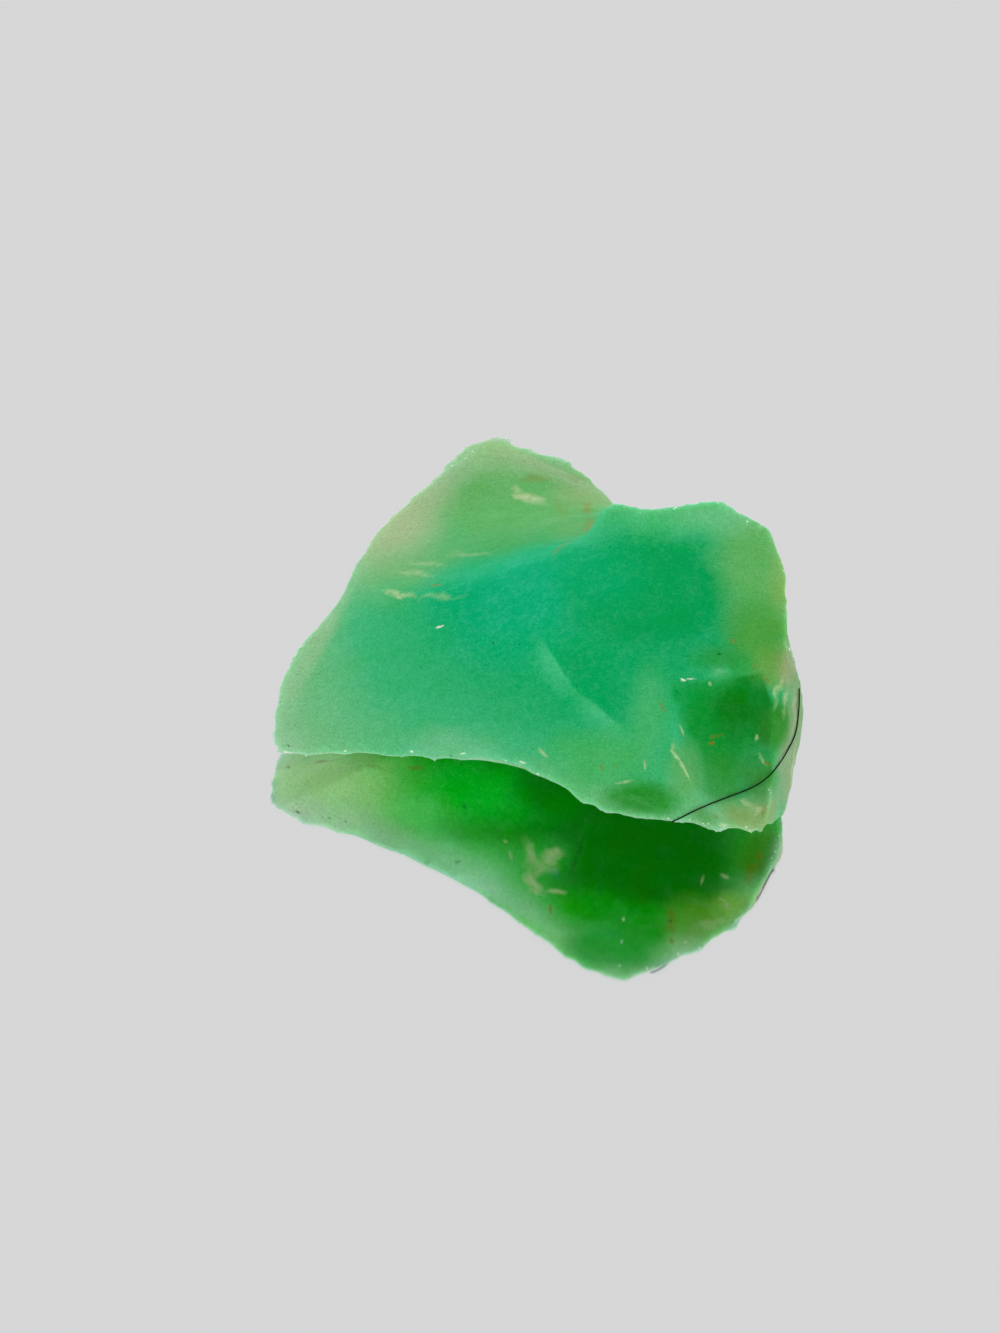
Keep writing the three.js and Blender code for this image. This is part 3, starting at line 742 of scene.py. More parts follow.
# Tints over that: the middle of each and its half sizes, in millimetres, the share of it that is
# its even core, its colour and its strength.
TOP_TINTS = (
    # the back and the far sides: yellow-green and tan low down, teal above
    ((3.0, 9.0, 1.8), (5.0, 4.0, 3.0), 0.1, (112, 168, 90), 0.85),
    ((10.6, 4.6, 3.0), (4.6, 3.6, 4.0), 0.1, (66, 164, 84), 0.85),
    ((5.4, 5.6, 7.4), (4.4, 3.6, 3.2), 0.1, (20, 164, 104), 0.8),
    ((-9.0, 6.4, 1.8), (4.6, 4.0, 2.4), 0.1, (140, 178, 120), 0.8),
    ((12.4, 0.6, 3.4), (2.4, 4.6, 3.2), 0.1, (106, 162, 96), 0.8),
    # the tongue: warm green, lime at its tip, tan along its left side and at its right
    ((-1.8, 7.6, 4.6), (7.4, 6.8, 3.6), 0.3, (96, 172, 92), 0.85),
    ((-3.8, 12.4, 4.3), (5.2, 3.4, 2.5), 0.1, (152, 188, 134), 0.9),
    ((-7.8, 6.2, 4.0), (3.6, 6.6, 3.0), 0.1, (166, 184, 138), 0.9),
    ((-6.6, 2.4, 5.0), (4.4, 3.6, 2.6), 0.1, (112, 172, 102), 0.7),
    ((1.6, 9.4, 4.5), (2.6, 4.2, 2.0), 0.1, (134, 168, 106), 0.75),
    ((1.0, 4.6, 6.6), (2.0, 3.4, 2.6), 0.1, (104, 160, 84), 0.6),
    # the teal heart of the front face, and the deeper block beside it
    ((-1.2, -0.8, 7.4), (7.4, 6.0, 4.0), 0.1, (6, 172, 124), 0.85),
    ((4.7, -1.6, 9.3), (5.0, 4.1, 3.4), 0.5, (0, 159, 86), 0.95),
    ((2.2, -0.6, 9.0), (3.2, 3.2, 3.0), 0.1, (0, 168, 106), 0.8),
    # the foot of the step behind it
    ((-1.8, 4.0, 6.2), (5.2, 3.0, 2.2), 0.1, (72, 160, 86), 0.7),
    # the paler bevel along the block's back and down its right side, olive at its lower end
    ((6.2, 2.9, 10.9), (5.4, 2.2, 2.5), 0.5, (70, 184, 112), 0.8),
    ((10.0, 0.2, 10.4), (3.3, 4.4, 3.0), 0.4, (100, 174, 94), 0.9),
    ((11.2, -0.6, 10.0), (1.5, 4.6, 2.5), 0.2, (126, 170, 92), 0.8),
    ((10.1, -3.6, 9.2), (2.5, 2.8, 2.0), 0.3, (80, 158, 60), 0.9),
    ((10.8, -4.8, 8.5), (1.7, 1.5, 1.5), 0.3, (108, 162, 76), 0.8),
    # the spine
    ((5.0, -8.2, 8.2), (1.4, 4.0, 2.6), 0.1, (80, 180, 114), 0.8),
    # the hollow, greenest at its upper right: painted shade, darker where the steep hollow gets less
    # light
    ((8.6, -7.0, 6.8), (3.5, 2.8, 3.0), 0.5, (16, 146, 52), 0.95),
    ((9.3, -6.4, 7.2), (2.0, 1.9, 1.9), 0.2, (0, 122, 4), 0.9),
    # below it, down to the front corner
    ((8.9, -8.9, 5.1), (2.9, 1.8, 1.9), 0.3, (50, 148, 56), 0.85),
    ((8.3, -5.2, 8.9), (2.2, 1.3, 1.4), 0.2, (42, 154, 66), 0.85),
    # the paler low ground behind the front rim
    ((2.6, -9.9, 6.7), (4.4, 2.3, 2.0), 0.2, (74, 176, 96), 0.8),
    ((6.9, -9.8, 6.3), (1.6, 2.0, 1.6), 0.2, (88, 162, 84), 0.8),
    ((10.8, -8.2, 4.6), (1.7, 1.6, 1.7), 0.3, (62, 142, 56), 0.85),
    ((11.0, -9.3, 3.0), (2.2, 1.9, 1.6), 0.3, (128, 160, 98), 0.85),
    ((9.9, -10.3, 3.8), (2.4, 1.4, 1.4), 0.2, (126, 160, 90), 0.9),
    ((7.8, -11.4, 4.8), (1.6, 1.0, 1.0), 0.2, (76, 152, 72), 0.8),
    # the flake above the front rim: painted shade, darker as it faces forward and gets less light
    ((5.2, -11.7, 6.3), (3.0, 1.2, 1.2), 0.3, (36, 144, 40), 0.95),
    # the greyer right side
    ((12.3, -5.6, 4.8), (1.6, 4.6, 5.4), 0.5, (130, 156, 114), 0.9),
    ((11.5, -4.0, 8.0), (1.2, 1.8, 1.5), 0.3, (140, 150, 108), 0.8),
    ((11.1, -6.5, 6.4), (1.3, 1.8, 1.8), 0.4, (42, 130, 36), 0.95),
    # paler along the block's raised rim and along the front rim's left half
    ((7.6, 2.4, 11.0), (3.2, 2.0, 2.0), 0.1, (122, 192, 140), 0.55),
    ((-4.0, -8.3, 4.6), (4.5, 1.6, 1.8), 0.1, (124, 188, 146), 0.5),
)
UNDERSIDE_TINTS = (
    # yellow-green at the left, then bright green, and deepest under the block
    ((-9.6, -5.4, 1.6), (6.6, 3.0, 2.4), 0.1, (142, 178, 124), 0.85),
    ((-2.4, -5.5, 1.3), (6.8, 2.6, 2.4), 0.2, (0, 158, 32), 0.95),
    ((1.0, -5.4, 1.0), (3.2, 2.4, 1.7), 0.1, (0, 106, 0), 0.9),
    ((-3.4, -8.2, 3.8), (4.6, 1.8, 1.8), 0.1, (88, 168, 104), 0.7),
    ((6.0, -8.0, 2.7), (6.6, 3.6, 3.4), 0.4, (0, 98, 0), 0.97),
    ((3.6, -9.8, 4.3), (3.4, 1.5, 1.5), 0.1, (0, 130, 0), 0.8),
    ((0.9, -7.7, 3.1), (2.2, 1.5, 1.5), 0.1, (40, 150, 52), 0.6),
    ((-5.2, -6.4, 2.4), (2.6, 1.5, 1.4), 0.1, (84, 176, 96), 0.5),
    # the tip's green and the rusty right
    ((4.4, -11.5, 5.3), (4.2, 1.8, 1.7), 0.3, (28, 136, 42), 0.95),
    ((6.2, -10.4, 4.4), (2.6, 1.7, 1.6), 0.2, (8, 128, 16), 0.9),
    ((8.7, -10.4, 3.8), (2.8, 2.1, 1.9), 0.2, (66, 128, 2), 0.85),
    ((10.2, -9.9, 2.9), (1.8, 1.2, 1.2), 0.2, (100, 148, 52), 0.75),
    ((11.3, -7.8, 1.7), (1.8, 2.0, 1.6), 0.3, (44, 116, 0), 0.9),
)

# Colours that begin along a line and fade away to its left, as it is walked from start to end with
# the surface underfoot: the line's start and end, how far the colour reaches, what the colour is
# and its strength.
TOP_FOLDS = (
    # the pale rims of the tongue and of the left side
    ((-4.2, 12.8, 4.2), (-9.4, 4.2, 4.0), 2.2, (166, 188, 148), 0.7),
    ((4.0, 9.4, 4.0), (-4.4, 13.0, 4.2), 1.8, (160, 182, 142), 0.65),
    ((-8.4, 5.4, 4.1), (-12.6, -7.6, 2.2), 2.6, (152, 190, 146), 0.7),
    # the crease: deep teal to its right, and paler to its left
    ((-2.6, -1.2, 7.3), (0.3, -4.4, 7.8), 2.2, (8, 168, 114), 0.5),
    ((0.1, -4.0, 8.0), (1.9, -7.4, 7.8), 2.4, (0, 160, 92), 0.9),
    ((1.2, -6.3, 7.8), (4.4, -9.2, 7.7), 2.2, (0, 162, 92), 0.8),
    ((2.1, -7.5, 7.8), (-0.6, -2.9, 8.0), 1.4, (78, 190, 136), 0.7),
    ((4.8, -9.4, 7.6), (1.1, -6.2, 7.8), 1.2, (84, 190, 134), 0.6),
    # the hollow's right, upper and left edges, in painted shade
    ((11.1, -6.6, 6.8), (10.1, -4.9, 8.8), 1.7, (0, 122, 4), 0.85),
    ((10.6, -4.8, 8.6), (8.1, -6.0, 8.7), 1.8, (0, 124, 6), 0.8),
    ((8.8, -5.8, 8.7), (5.9, -6.8, 8.9), 1.8, (6, 148, 56), 0.7),
    ((5.9, -6.2, 9.0), (6.2, -8.0, 8.2), 2.2, (0, 150, 58), 0.8),
    ((6.2, -7.7, 8.2), (8.9, -8.5, 5.8), 2.0, (10, 144, 48), 0.6),
)
UNDERSIDE_FOLDS = (
    # the minty front rim, and painted shade along the keel's ridge
    ((3.4, -11.8, 5.6), (-7.6, -7.8, 3.4), 2.9, (128, 160, 144), 0.85),
    ((-3.0, -9.0, 4.5), (-12.6, -7.0, 2.0), 2.2, (144, 162, 152), 0.6),
    ((2.3, -9.0, 3.9), (3.0, -6.0, 0.8), 3.2, (0, 100, 4), 0.7),
)

# Marks on the surface: where each starts and ends and half its width, in millimetres, and its
# strength.
CREAM_MARKS = (
    ((-8.0, 1.0, 5.1), (-6.1, -0.3, 6.1), 0.30, 0.7),
    ((-7.6, 2.2, 5.1), (-5.4, 1.3, 6.0), 0.36, 0.35),
    ((-7.0, 3.0, 5.1), (-5.0, 2.2, 6.0), 0.34, 0.3),
    ((-4.9, 3.3, 5.5), (-2.9, 2.7, 6.4), 0.36, 0.35),
    ((-6.2, -0.3, 6.1), (-3.8, -0.7, 6.9), 0.34, 0.35),
    ((-2.1, 8.5, 4.6), (-0.8, 8.0, 4.9), 0.55, 0.85),
    ((-2.3, 9.3, 4.5), (-1.7, 8.4, 4.6), 0.34, 0.5),
    ((5.0, -10.0, 7.2), (5.1, -10.5, 6.9), 0.09, 0.7),
    ((6.5, -8.1, 7.6), (6.8, -8.3, 7.1), 0.12, 0.6),
    ((6.1, -9.0, 7.7), (6.7, -9.7, 6.9), 0.20, 0.75),
    ((6.5, -9.5, 7.1), (7.3, -10.1, 6.0), 0.16, 0.7),
    ((7.7, -6.2, 8.7), (7.8, -6.2, 8.5), 0.10, 0.5),
    ((10.2, -7.0, 6.2), (10.2, -7.1, 6.1), 0.12, 0.7),
    ((10.4, -7.6, 5.5), (11.1, -7.9, 5.0), 0.20, 0.6),
    ((11.1, -4.7, 8.2), (10.8, -6.3, 7.2), 0.26, 0.5),
    ((11.4, -4.6, 7.6), (11.2, -6.2, 6.6), 0.34, 0.5),
    ((11.8, -4.4, 7.0), (11.9, -5.8, 5.2), 0.36, 0.45),
    ((12.2, -5.2, 4.6), (12.1, -6.8, 1.8), 0.34, 0.5),
    ((10.3, -9.7, 3.7), (10.9, -9.1, 3.5), 0.22, 0.5),
    ((9.6, -9.3, 4.1), (10.4, -9.4, 3.6), 0.24, 0.5),
    ((8.7, -11.2, 4.4), (9.2, -11.0, 4.2), 0.14, 0.7),
    ((3.7, -11.0, 6.4), (4.7, -10.9, 6.7), 0.10, 0.5),
    ((0.1, -8.9, 6.0), (0.6, -9.4, 6.0), 0.13, 0.6),
    # the underside's star, with its five arms, and the scraps beside it
    ((0.1, -7.0, 2.8), (0.5, -8.2, 3.7), 0.34, 0.6),
    ((0.3, -7.9, 3.5), (1.5, -8.1, 3.5), 0.60, 0.45),
    ((0.8, -7.7, 3.2), (1.8, -7.6, 3.0), 0.50, 0.65),
    ((0.4, -8.2, 3.8), (1.4, -8.0, 3.4), 0.45, 0.55),
    ((0.2, -8.1, 3.8), (0.9, -8.9, 4.3), 0.42, 0.75),
    ((0.4, -9.0, 4.4), (1.3, -8.9, 4.2), 0.24, 0.75),
    ((1.2, -8.9, 4.2), (2.2, -9.1, 4.0), 0.16, 0.7),
    ((-0.7, -7.5, 3.3), (-0.6, -7.8, 3.5), 0.12, 0.5),
    ((-1.0, -7.1, 3.0), (-0.9, -7.2, 3.0), 0.10, 0.5),
    ((9.4, -8.4, 2.4), (9.8, -8.6, 2.4), 0.14, 0.6),
    ((8.5, -8.8, 2.9), (8.6, -8.4, 2.6), 0.09, 0.6),
    ((9.2, -9.3, 3.1), (10.1, -9.9, 3.1), 0.24, 0.7),
    ((8.2, -10.5, 4.1), (10.0, -10.4, 3.4), 0.34, 0.4),
)
# White flecks, some of them real and some painted sparkle highlights.
WHITE_MARKS = (
    ((-5.2, -2.0, 6.0), (-4.8, -2.0, 6.2), 0.07, 0.9),
    ((6.4, -6.5, 9.1), (6.6, -6.5, 9.0), 0.09, 0.9),
    ((6.5, -6.5, 9.1), (7.1, -6.3, 8.9), 0.06, 0.6),
    ((-12.0, -7.5, 2.2), (-11.3, -7.6, 2.3), 0.07, 0.8),
    ((-8.9, -7.6, 3.0), (-8.8, -7.6, 3.1), 0.06, 0.9),
    ((-5.8, -7.9, 3.8), (-5.7, -8.0, 3.8), 0.08, 0.9),
    ((-3.5, -8.5, 4.6), (-3.2, -8.5, 4.7), 0.07, 0.6),
    ((-0.7, -9.4, 5.5), (-0.4, -9.5, 5.6), 0.08, 0.7),
    ((9.9, -10.7, 3.8), (10.6, -10.2, 3.1), 0.09, 0.7),
    ((5.0, -10.0, 4.4), (5.0, -10.1, 4.5), 0.06, 0.8),
    ((5.0, -10.9, 5.0), (5.0, -11.0, 5.1), 0.07, 0.8),
    ((5.0, -11.9, 5.6), (5.0, -12.0, 5.6), 0.07, 0.8),
    ((8.0, -11.1, 4.5), (8.1, -11.1, 4.5), 0.07, 0.7),
)
RUST_MARKS = (
    ((-5.7, 0.4, 6.3), (-5.1, 0.4, 6.5), 0.13, 0.8),
    ((1.4, 8.4, 5.0), (1.7, 6.4, 5.8), 0.36, 0.55),
    ((1.7, 6.4, 5.8), (1.4, 3.6, 7.6), 0.40, 0.5),
    ((-0.1, 1.4, 8.2), (0.9, 2.6, 7.9), 0.30, 0.6),
    ((0.3, 10.6, 4.1), (1.1, 10.3, 4.0), 0.40, 0.25),
    ((-1.6, 9.9, 4.3), (-0.6, 10.2, 4.3), 0.50, 0.4),
    ((-0.1, 8.2, 4.8), (0.5, 5.9, 5.9), 0.50, 0.25),
    ((8.0, -7.8, 6.2), (8.2, -7.7, 6.2), 0.13, 0.9),
    ((8.1, -7.6, 6.3), (8.5, -7.3, 6.4), 0.20, 0.4),
    ((5.5, -7.6, 8.5), (5.8, -8.0, 8.3), 0.16, 0.35),
    ((10.7, -7.7, 5.2), (10.9, -7.8, 5.1), 0.10, 0.8),
    ((8.6, -4.1, 9.4), (8.7, -4.2, 9.4), 0.16, 0.4),
    ((10.3, -5.3, 8.3), (10.5, -5.4, 8.2), 0.16, 0.5),
    ((9.7, -5.1, 9.0), (9.9, -5.1, 8.7), 0.16, 0.35),
    ((10.8, -9.0, 3.6), (10.8, -9.7, 3.2), 0.24, 0.6),
    ((8.4, -10.8, 4.6), (8.7, -10.9, 4.5), 0.16, 0.55),
    ((3.0, -10.1, 6.6), (3.2, -10.3, 6.5), 0.10, 0.5),
    ((3.7, -10.2, 6.8), (3.8, -10.2, 6.8), 0.08, 0.7),
    ((-11.8, -4.3, 2.3), (-11.6, -4.5, 2.2), 0.10, 0.6),
    ((-11.4, -4.3, 2.1), (-8.6, -4.4, 1.4), 0.12, 0.35),
    ((-10.5, -4.2, 1.9), (-9.8, -4.3, 1.6), 0.12, 0.6),
    ((-7.8, -5.1, 0.9), (-7.0, -5.0, 1.0), 0.20, 0.3),
    ((-5.9, -4.8, 1.0), (-5.2, -4.7, 1.0), 0.18, 0.35),
    ((7.1, -9.6, 3.8), (7.4, -10.9, 4.5), 0.40, 0.4),
    ((7.2, -9.7, 4.0), (7.25, -9.8, 4.0), 0.12, 0.8),
    ((7.2, -10.3, 4.2), (7.3, -10.6, 4.4), 0.20, 0.7),
    ((7.3, -10.9, 4.5), (7.4, -11.1, 4.6), 0.12, 0.7),
    ((11.1, -7.6, 1.5), (11.1, -7.9, 1.6), 0.14, 0.8),
    ((11.0, -7.9, 1.7), (10.6, -8.9, 2.4), 0.45, 0.35),
    ((1.5, -9.5, 4.6), (1.5, -9.8, 4.7), 0.14, 0.7),
)
SPECK_MARKS = (
    ((8.0, -4.9, 9.2), (8.1, -4.9, 9.2), 0.07, 0.9),
    ((-2.4, -3.4, 6.9), (-2.4, -3.5, 6.9), 0.06, 0.9),
    ((-1.2, -3.7, 7.4), (-1.2, -3.8, 7.3), 0.05, 0.8),
    ((1.6, -6.6, 8.0), (1.6, -6.7, 8.0), 0.06, 0.8),
    ((-5.6, -1.7, 5.9), (-5.6, -1.8, 5.9), 0.05, 0.8),
    ((-11.6, -7.0, 2.3), (-11.5, -7.1, 2.4), 0.06, 0.8),
    ((-6.3, -7.6, 3.8), (-6.2, -7.7, 3.8), 0.05, 0.7),
    ((-4.0, -8.4, 4.3), (-3.9, -8.5, 4.3), 0.05, 0.9),
    ((-0.2, -8.9, 5.9), (-0.1, -8.9, 5.9), 0.06, 0.6),
    ((-11.1, -7.2, 2.1), (-10.8, -7.3, 2.1), 0.07, 0.9),
    ((-3.1, -5.9, 2.1), (-3.0, -6.0, 2.1), 0.14, 0.5),
    ((-3.3, -8.0, 3.9), (-3.0, -7.9, 3.8), 0.06, 0.6),
    ((7.2, -10.1, 4.1), (7.3, -10.2, 4.2), 0.07, 0.9),
    ((2.8, -7.2, 1.6), (2.2, -8.6, 3.6), 0.12, 0.5),
)
TEAL_MARKS = (
    ((1.3, -8.1, 3.5), (1.8, -8.5, 3.7), 0.40, 0.7),
    ((3.6, -10.6, 4.8), (5.0, -10.7, 4.7), 0.50, 0.2),
)

SMALL_TINT = 1.6  # tints narrower than this keep a smoother outline
SMALL_MARK = 0.2  # marks narrower than this keep a crisper outline


class Paints:
    """The stone's own ways of laying one colour over another. Its broad, middling, fine and grain
    are noise around 0, and its places are each point's own place, in millimetres, moved by noise."""

    def __init__(self, shader, surface_tree):
        self.shader = shader
        self.surface_tree = surface_tree
        coordinates = shader.node("ShaderNodeTexCoord", output="Object")
        self.place = shader.node("ShaderNodeVectorMath", {"operation": "SCALE"}, {
            0: coordinates, "Scale": 1 / MM})
        self.broad = self.uneven(size=4.5, detail=3.0) - 0.5
        self.middling = self.uneven(size=1.3, detail=4.0) - 0.5
        self.fine = self.uneven(size=0.3, detail=3.0) - 0.5
        self.grain = self.uneven(size=0.08, detail=1.0) - 0.5
        self.wavy_place = self.shaken(size=2.6, reach=1.8)
        self.torn_place = self.shaken(size=0.9, reach=1.1)
        self.ragged_place = self.shaken(size=0.3, reach=0.2)
        self.soft_place = self.shaken(size=2.0, reach=0.5)

    def uneven(self, size, detail, output="Fac"):
        """Soft noise from 0 to 1, with bumps about size millimetres apart."""
        return self.shader.node("ShaderNodeTexNoise", None, {
            "Vector": self.place, "Scale": 1 / size, "Detail": detail, "Roughness": 0.55}, output)

    def shaken(self, size, reach):
        """The place of each point, moved by noise, so that what is laid there has a ragged outline.
        Size is how far apart the rags are, and reach how long they are."""
        shake = self.shader.node("ShaderNodeVectorMath", {"operation": "SUBTRACT"}, {
            0: self.uneven(size, detail=3.0, output="Color"), 1: (0.5, 0.5, 0.5)})
        return self.shader.node("ShaderNodeVectorMath", {"operation": "MULTIPLY_ADD"}, {
            0: shake, 1: (reach, reach, reach), 2: self.place})

    def attribute(self, name):
        """One of the numbers that the mesh holds at its points."""
        return self.shader.node("ShaderNodeAttribute", {"attribute_name": name}, output="Fac")

    def shades(self, depth, stops, settings, light):
        """A colour that goes with how thick the stone is, a little uneven."""
        wavy = depth + 1.6 * self.broad + 0.8 * self.middling
        return self.shader.node("ShaderNodeValToRGB", {"stops": tuple(
            (place / THICKEST, base_colour(getattr(settings, name), light))
            for place, name in stops
        )}, {"Fac": wavy * (1 / THICKEST)})

    def wisps(self):
        """A mask of faint drawn-out clouds."""
        drawn_out = self.shader.node("ShaderNodeMapping", {"vector_type": "TEXTURE"}, {
            "Vector": self.wavy_place, "Rotation": (0.0, 0.0, math.radians(-12)),
            "Scale": (3.2, 0.8, 0.8)})
        clouds = self.shader.node("ShaderNodeTexNoise", None, {
            "Vector": drawn_out, "Scale": 1.0, "Detail": 4.0, "Roughness": 0.55})
        return self.shader.step(clouds, low=0.42, high=0.8, most=0.13)

    def specks(self, depth):
        """A mask of tiny scattered specks, most of them where the stone is thin."""
        specks = self.shader.step(self.uneven(size=0.13, detail=0.0), low=0.76, high=0.82, most=0.45)
        return specks * self.shader.step(depth, low=5.0, high=1.5)

    def glints(self, edge):
        """A mask of painted glints: tiny highlights along the sharpest edges."""
        glint_spots = self.shader.step(self.uneven(size=0.2, detail=1.0), low=0.64, high=0.7, most=0.8)
        return glint_spots * self.shader.step(edge, low=0.2, high=0.6)

    def centred(self, place, middle, size, turn=(0.0, 0.0, 0.0)):
        """The place as seen from the middle of a spot, 1 long at the spot's edge."""
        return self.shader.node("ShaderNodeMapping", {"vector_type": "TEXTURE"}, {
            "Vector": place, "Location": middle, "Rotation": turn, "Scale": size})

    def spot(self, centred, core, strength):
        """A mask that is strength over the core of a spot and fades to 0 at its edge."""
        inward = self.shader.node("ShaderNodeTexGradient", {"gradient_type": "SPHERICAL"}, {
            "Vector": centred}, "Fac")
        return self.shader.step(inward, low=0.0, high=1.0 - core, most=strength)

    def tints(self, shade, tints, light):
        """Soft spots of other colours. The larger ones are more uneven."""
        for middle, size, core, seen, strength in tints:
            place = self.soft_place if min(size) < SMALL_TINT else self.wavy_place
            mask = self.spot(self.centred(place, middle, size), core, strength)
            shade = self.shader.blend(mask, shade, base_colour(linear(*seen), light))
        return shade

    def folds(self, shade, folds, light):
        """Half spots: colours that begin along a line and fade away to its left."""
        for start, end, reach, seen, strength in folds:
            middle = (Vector(start) + Vector(end)) / 2
            line = Vector(end) - Vector(start)
            up = self.surface_tree.find_nearest(middle)[1]
            across = up.cross(line).normalized()
            along = across.cross(up)
            turn = Matrix((along, across, up)).transposed().to_euler()
            size = (line.length / 2, reach, reach)
            centred = self.centred(self.soft_place, middle, size, turn)
            side = self.shader.node("ShaderNodeSeparateXYZ", None, {"Vector": centred}, "Y")
            left = self.shader.step(side, low=-0.03, high=0.12)
            mask = self.spot(centred, 0.0, strength) * left
            shade = self.shader.blend(mask, shade, base_colour(linear(*seen), light))
        return shade

    def marks(self, shade, marks, over):
        """Small marks with ragged edges, each settled on the nearest point of the surface. The
        wider ones are softer and more torn."""
        most = None
        for start, end, width, strength in marks:
            start, end = (
                self.surface_tree.find_nearest(Vector(place))[0] for place in (start, end))
            line = end - start
            size = (line.length / 2 + width, width, width)
            turn = line.to_track_quat("X", "Z").to_euler()
            place, core = (
                (self.ragged_place, 0.25) if width < SMALL_MARK else (self.torn_place, 0.1))
            mask = self.spot(self.centred(place, (start + end) / 2, size, turn), core, strength)
            most = mask if most is None else mask.math("MAXIMUM", most, mask)
        return self.shader.blend(most, shade, over)


LIGHTEST = 0.97  # no base colour sends back more light than this


def base_colour(seen, light):
    """The base colour that looks like the one given in the stage's light."""
    return tuple(min(level / light, LIGHTEST) for level in seen)


def new_material(name):
    """A material, and the shader that is to fill it."""
    material = bpy.data.materials.new(name)
    material.use_nodes = True
    return material, Shader(material.node_tree)


WORN_AND_SHEEN_SHARE = 0.35  # how strongly the sharpest edges are made pale: partly wear and partly painted sheen
HUE_SWING = 0.02  # how much the colour's hue, saturation and value change from place to place
SATURATION_SWING = 0.1
VALUE_SWING = 0.32


def stone_material(settings, surface_tree):
    """Translucent green chalcedony: deep where it is thick, pale and yellow where it is thin."""
    material, shader = new_material("stone")
    paints = Paints(shader, surface_tree)
    depth = paints.attribute("thickness")
    top = paints.shades(depth, TOP_SHADES, settings, TOP_LIGHT)
    top = paints.tints(top, TOP_TINTS, TOP_LIGHT)
    top = paints.folds(top, TOP_FOLDS, TOP_LIGHT)
    below = paints.shades(depth, UNDERSIDE_SHADES, settings, UNDERSIDE_LIGHT)
    below = paints.tints(below, UNDERSIDE_TINTS, UNDERSIDE_LIGHT)
    below = paints.folds(below, UNDERSIDE_FOLDS, UNDERSIDE_LIGHT)
    edge = paints.attribute("edge")
    below = shader.blend(edge, below, base_colour(settings.under_edge, UNDERSIDE_LIGHT))
    shade = shader.blend(paints.attribute("underside"), top, below)
    for marks, seen in (
        (TEAL_MARKS, settings.teal), (CREAM_MARKS, settings.cream), (RUST_MARKS, settings.rust),
        (WHITE_MARKS, settings.white), (SPECK_MARKS, settings.speck),
    ):
        shade = paints.marks(shade, marks, base_colour(seen, TOP_LIGHT))
    for mask, seen in (
        (paints.wisps() * shader.step(depth, low=6.5, high=3.0), settings.wisp),
        (paints.specks(depth), settings.speck),
        # the pale line along the sharpest edges: partly real wear, partly painted sheen
        (edge * WORN_AND_SHEEN_SHARE, settings.worn_edge_and_sheen),
        # painted glints: tiny highlights along the sharpest edges
        (paints.glints(edge), settings.white),
    ):
        shade = shader.blend(mask, shade, base_colour(seen, TOP_LIGHT))
    milkiness = 0.6 * paints.grain + paints.fine + paints.middling
    mottle = 1.7 * paints.grain + 0.6 * paints.fine + 0.4 * paints.middling
    tone = shader.node("ShaderNodeHueSaturation", None, {
        "Color": shade, "Hue": 0.5 + HUE_SWING * paints.middling,
        "Saturation": 1.0 - SATURATION_SWING * milkiness, "Value": 1.0 + VALUE_SWING * mottle})
    bump = shader.node("ShaderNodeBump", None, {
        "Strength": 0.25, "Distance": 0.02 * MM, "Height": paints.fine + 0.5 * paints.middling})
    principled = shader.node("ShaderNodeBsdfPrincipled", {"subsurface_method": "RANDOM_WALK"}, {
        "Base Color": tone, "Roughness": 0.42, "Normal": bump,
        "Subsurface Weight": 1.0, "Subsurface Radius": (0.6, 1.0, 0.8),
        "Subsurface Scale": 0.7 * MM, "Specular IOR Level": 0.04})
    shader.node("ShaderNodeOutputMaterial", None, {"Surface": principled})
    return material


HAIR_STREAK = 2.2  # how much lighter than its own colour the hair's streaks are


def hair_material(settings):
    """A dark hair with slightly lighter streaks."""
    material, shader = new_material("hair")
    place = shader.node("ShaderNodeTexCoord", output="Object")
    streak = shader.node("ShaderNodeTexNoise", None, {"Vector": place, "Scale": 2 / MM, "Detail": 2.0})
    lighter = tuple(HAIR_STREAK * level for level in settings.tint)
    shade = shader.blend(streak, settings.tint[:], lighter)
    principled = shader.node("ShaderNodeBsdfPrincipled", None, {
        "Base Color": shade, "Roughness": 0.5, "Specular IOR Level": 0.1})
    shader.node("ShaderNodeOutputMaterial", None, {"Surface": principled})
    return material


def floor_material(settings):
    """A pale polished floor that mirrors what stands on it."""
    material, shader = new_material("floor")
    principled = shader.node("ShaderNodeBsdfPrincipled", None, {
        "Base Color": (*settings.floor_tint, 1.0), "Metallic": 1.0,
        "Roughness": settings.floor_roughness})
    shader.node("ShaderNodeOutputMaterial", None, {"Surface": principled})
    return material


def soft_light(settings):
    """Even white light from above, stronger from the walls all round."""
    world = bpy.data.worlds.new("soft light")
    world.use_nodes = True
    shader = Shader(world.node_tree)
    way = shader.node("ShaderNodeTexCoord", output="Generated")
    height = shader.node("ShaderNodeSeparateXYZ", None, {"Vector": way}, "Z")
    near_horizon = 1 - shader.step(height.math("ABSOLUTE", height), low=0.1, high=0.6)
    extra = settings.wall_strength - settings.sky_strength
    strength = settings.sky_strength + extra * near_horizon
    background = shader.node("ShaderNodeBackground", None, {
        "Color": (1.0, 1.0, 1.0, 1.0), "Strength": strength})
    shader.node("ShaderNodeOutputWorld", None, {"Surface": background})
    return world


# --------------------------------------------------------------------------------- operators

HAIR_STEPS = 120  # steps along the hair
LOOK_AT = Vector((-2.0, 1.35, 0.0)) * MM  # the point of the floor in the middle of the camera's view


def placed(context, name, data):
    """A new object in the scene, at the origin."""
    made = bpy.data.objects.new(name, data)
    context.scene.collection.objects.link(made)
    return made


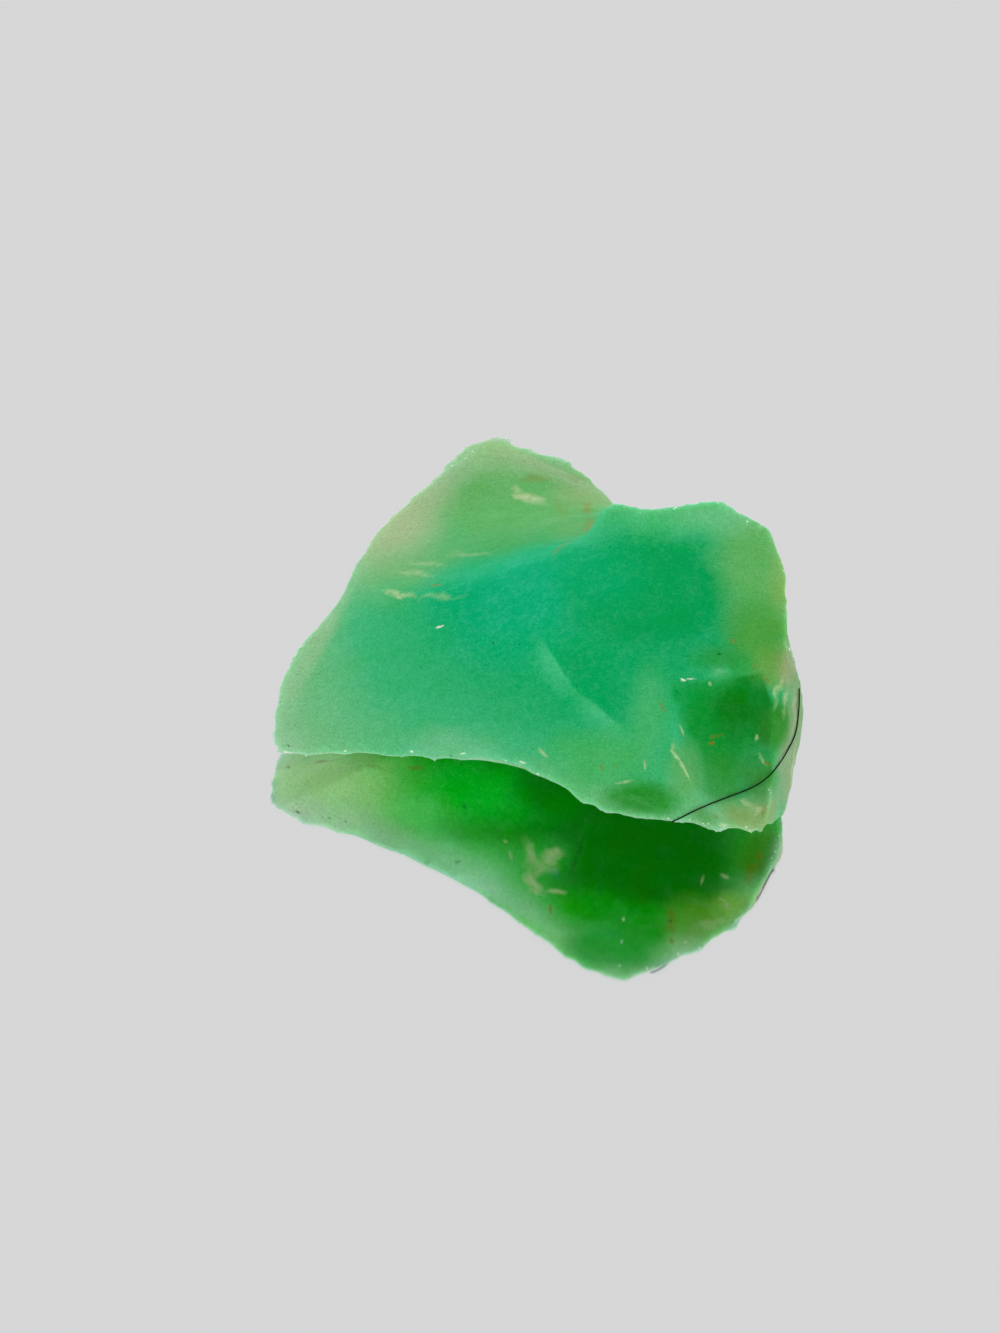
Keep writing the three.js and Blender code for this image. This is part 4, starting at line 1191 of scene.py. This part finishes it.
class CHRYSOPRASE_OT_stone(bpy.types.Operator):
    """Make the stone with its fine surface in place of the CAD node"""

    bl_idname = "chrysoprase.stone"
    bl_label = "Make the stone"

    def execute(self, context):
        surface, attributes = stone_surface(context.scene.stone_shape)
        mesh = mesh_of(surface, "stone", attributes)
        tree = BVHTree.FromPolygons(surface.co.tolist(), surface.faces.tolist())
        mesh.materials.append(stone_material(context.scene.stone_colour, tree))
        stone = placed(context, "stone", mesh)
        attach(stone, BODY)
        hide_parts(NODE)
        return {"FINISHED"}


class CHRYSOPRASE_OT_hair(bpy.types.Operator):
    """Lay the stray hair on the stone"""

    bl_idname = "chrysoprase.hair"
    bl_label = "Lay the stray hair"

    def execute(self, context):
        settings = context.scene.hair
        stone = bpy.data.objects["stone"].data
        tree = BVHTree.FromPolygons(
            [corner.co / MM for corner in stone.vertices],
            [face.vertices[:] for face in stone.polygons])
        line = hair_line(tree, settings.radius / MM)
        guide = placed(context, "hair line", line)
        add_nodes(guide, hair_tree(), {
            "Radius": settings.radius, "Length steps": HAIR_STEPS,
            "Finish": hair_material(settings)})
        mesh = plain_mesh(guide)
        mesh.name = "stray_hair"
        mesh.shade_smooth()
        bpy.data.objects.remove(guide)
        bpy.data.meshes.remove(line)
        hair = placed(context, "stray_hair", mesh)
        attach(hair, BODY)
        return {"FINISHED"}


class CHRYSOPRASE_OT_stage(bpy.types.Operator):
    """Set the floor, the soft light and the camera"""

    bl_idname = "chrysoprase.stage"
    bl_label = "Set the stage"

    def execute(self, context):
        settings = context.scene.stage
        half = settings.floor_size / 2
        mesh = bpy.data.meshes.new("floor")
        corners = [(-half, -half, 0), (half, -half, 0), (half, half, 0), (-half, half, 0)]
        mesh.from_pydata(corners, [], [(0, 1, 2, 3)])
        mesh.materials.append(floor_material(settings))
        floor = placed(context, "floor", mesh)

        context.scene.world = soft_light(settings)
        context.scene.view_settings.view_transform = "Standard"

        camera = placed(context, "camera", bpy.data.cameras.new("camera"))
        camera.data.lens = settings.lens
        camera.data.clip_start = 0.01
        camera.data.clip_end = 10.0
        back = Vector((0, -math.cos(settings.elevation), math.sin(settings.elevation)))
        turn = Matrix.Rotation(math.pi / 2 - settings.elevation, 4, "X")
        turn = turn @ Matrix.Rotation(settings.roll, 4, "Z")
        camera.matrix_world = Matrix.Translation(LOOK_AT + back * settings.distance) @ turn
        context.scene.camera = camera
        return {"FINISHED"}


class CHRYSOPRASE_PT_panel(bpy.types.Panel):
    """The buttons that make the stone and its stage"""

    bl_label = "Raw chrysoprase"
    bl_idname = "CHRYSOPRASE_PT_panel"
    bl_space_type = "VIEW_3D"
    bl_region_type = "UI"
    bl_category = "Chrysoprase"

    def draw(self, context):
        for operator in OPERATORS:
            self.layout.operator(operator.bl_idname)


SETTINGS = {
    "stone_shape": StoneShapeSettings,
    "stone_colour": StoneColourSettings,
    "hair": HairSettings,
    "stage": StageSettings,
}
OPERATORS = (CHRYSOPRASE_OT_stone, CHRYSOPRASE_OT_hair, CHRYSOPRASE_OT_stage)


def register():
    for group in SETTINGS.values():
        bpy.utils.register_class(group)
    for name, group in SETTINGS.items():
        setattr(bpy.types.Scene, name, PointerProperty(type=group))
    for operator in OPERATORS:
        bpy.utils.register_class(operator)
    bpy.utils.register_class(CHRYSOPRASE_PT_panel)


def unregister():
    bpy.utils.unregister_class(CHRYSOPRASE_PT_panel)
    for operator in reversed(OPERATORS):
        bpy.utils.unregister_class(operator)
    for name in SETTINGS:
        delattr(bpy.types.Scene, name)
    for group in reversed(SETTINGS.values()):
        bpy.utils.unregister_class(group)


def main():
    register()
    bpy.ops.chrysoprase.stage()
    bpy.ops.chrysoprase.stone()
    bpy.ops.chrysoprase.hair()


if __name__ == "__main__":
    main()
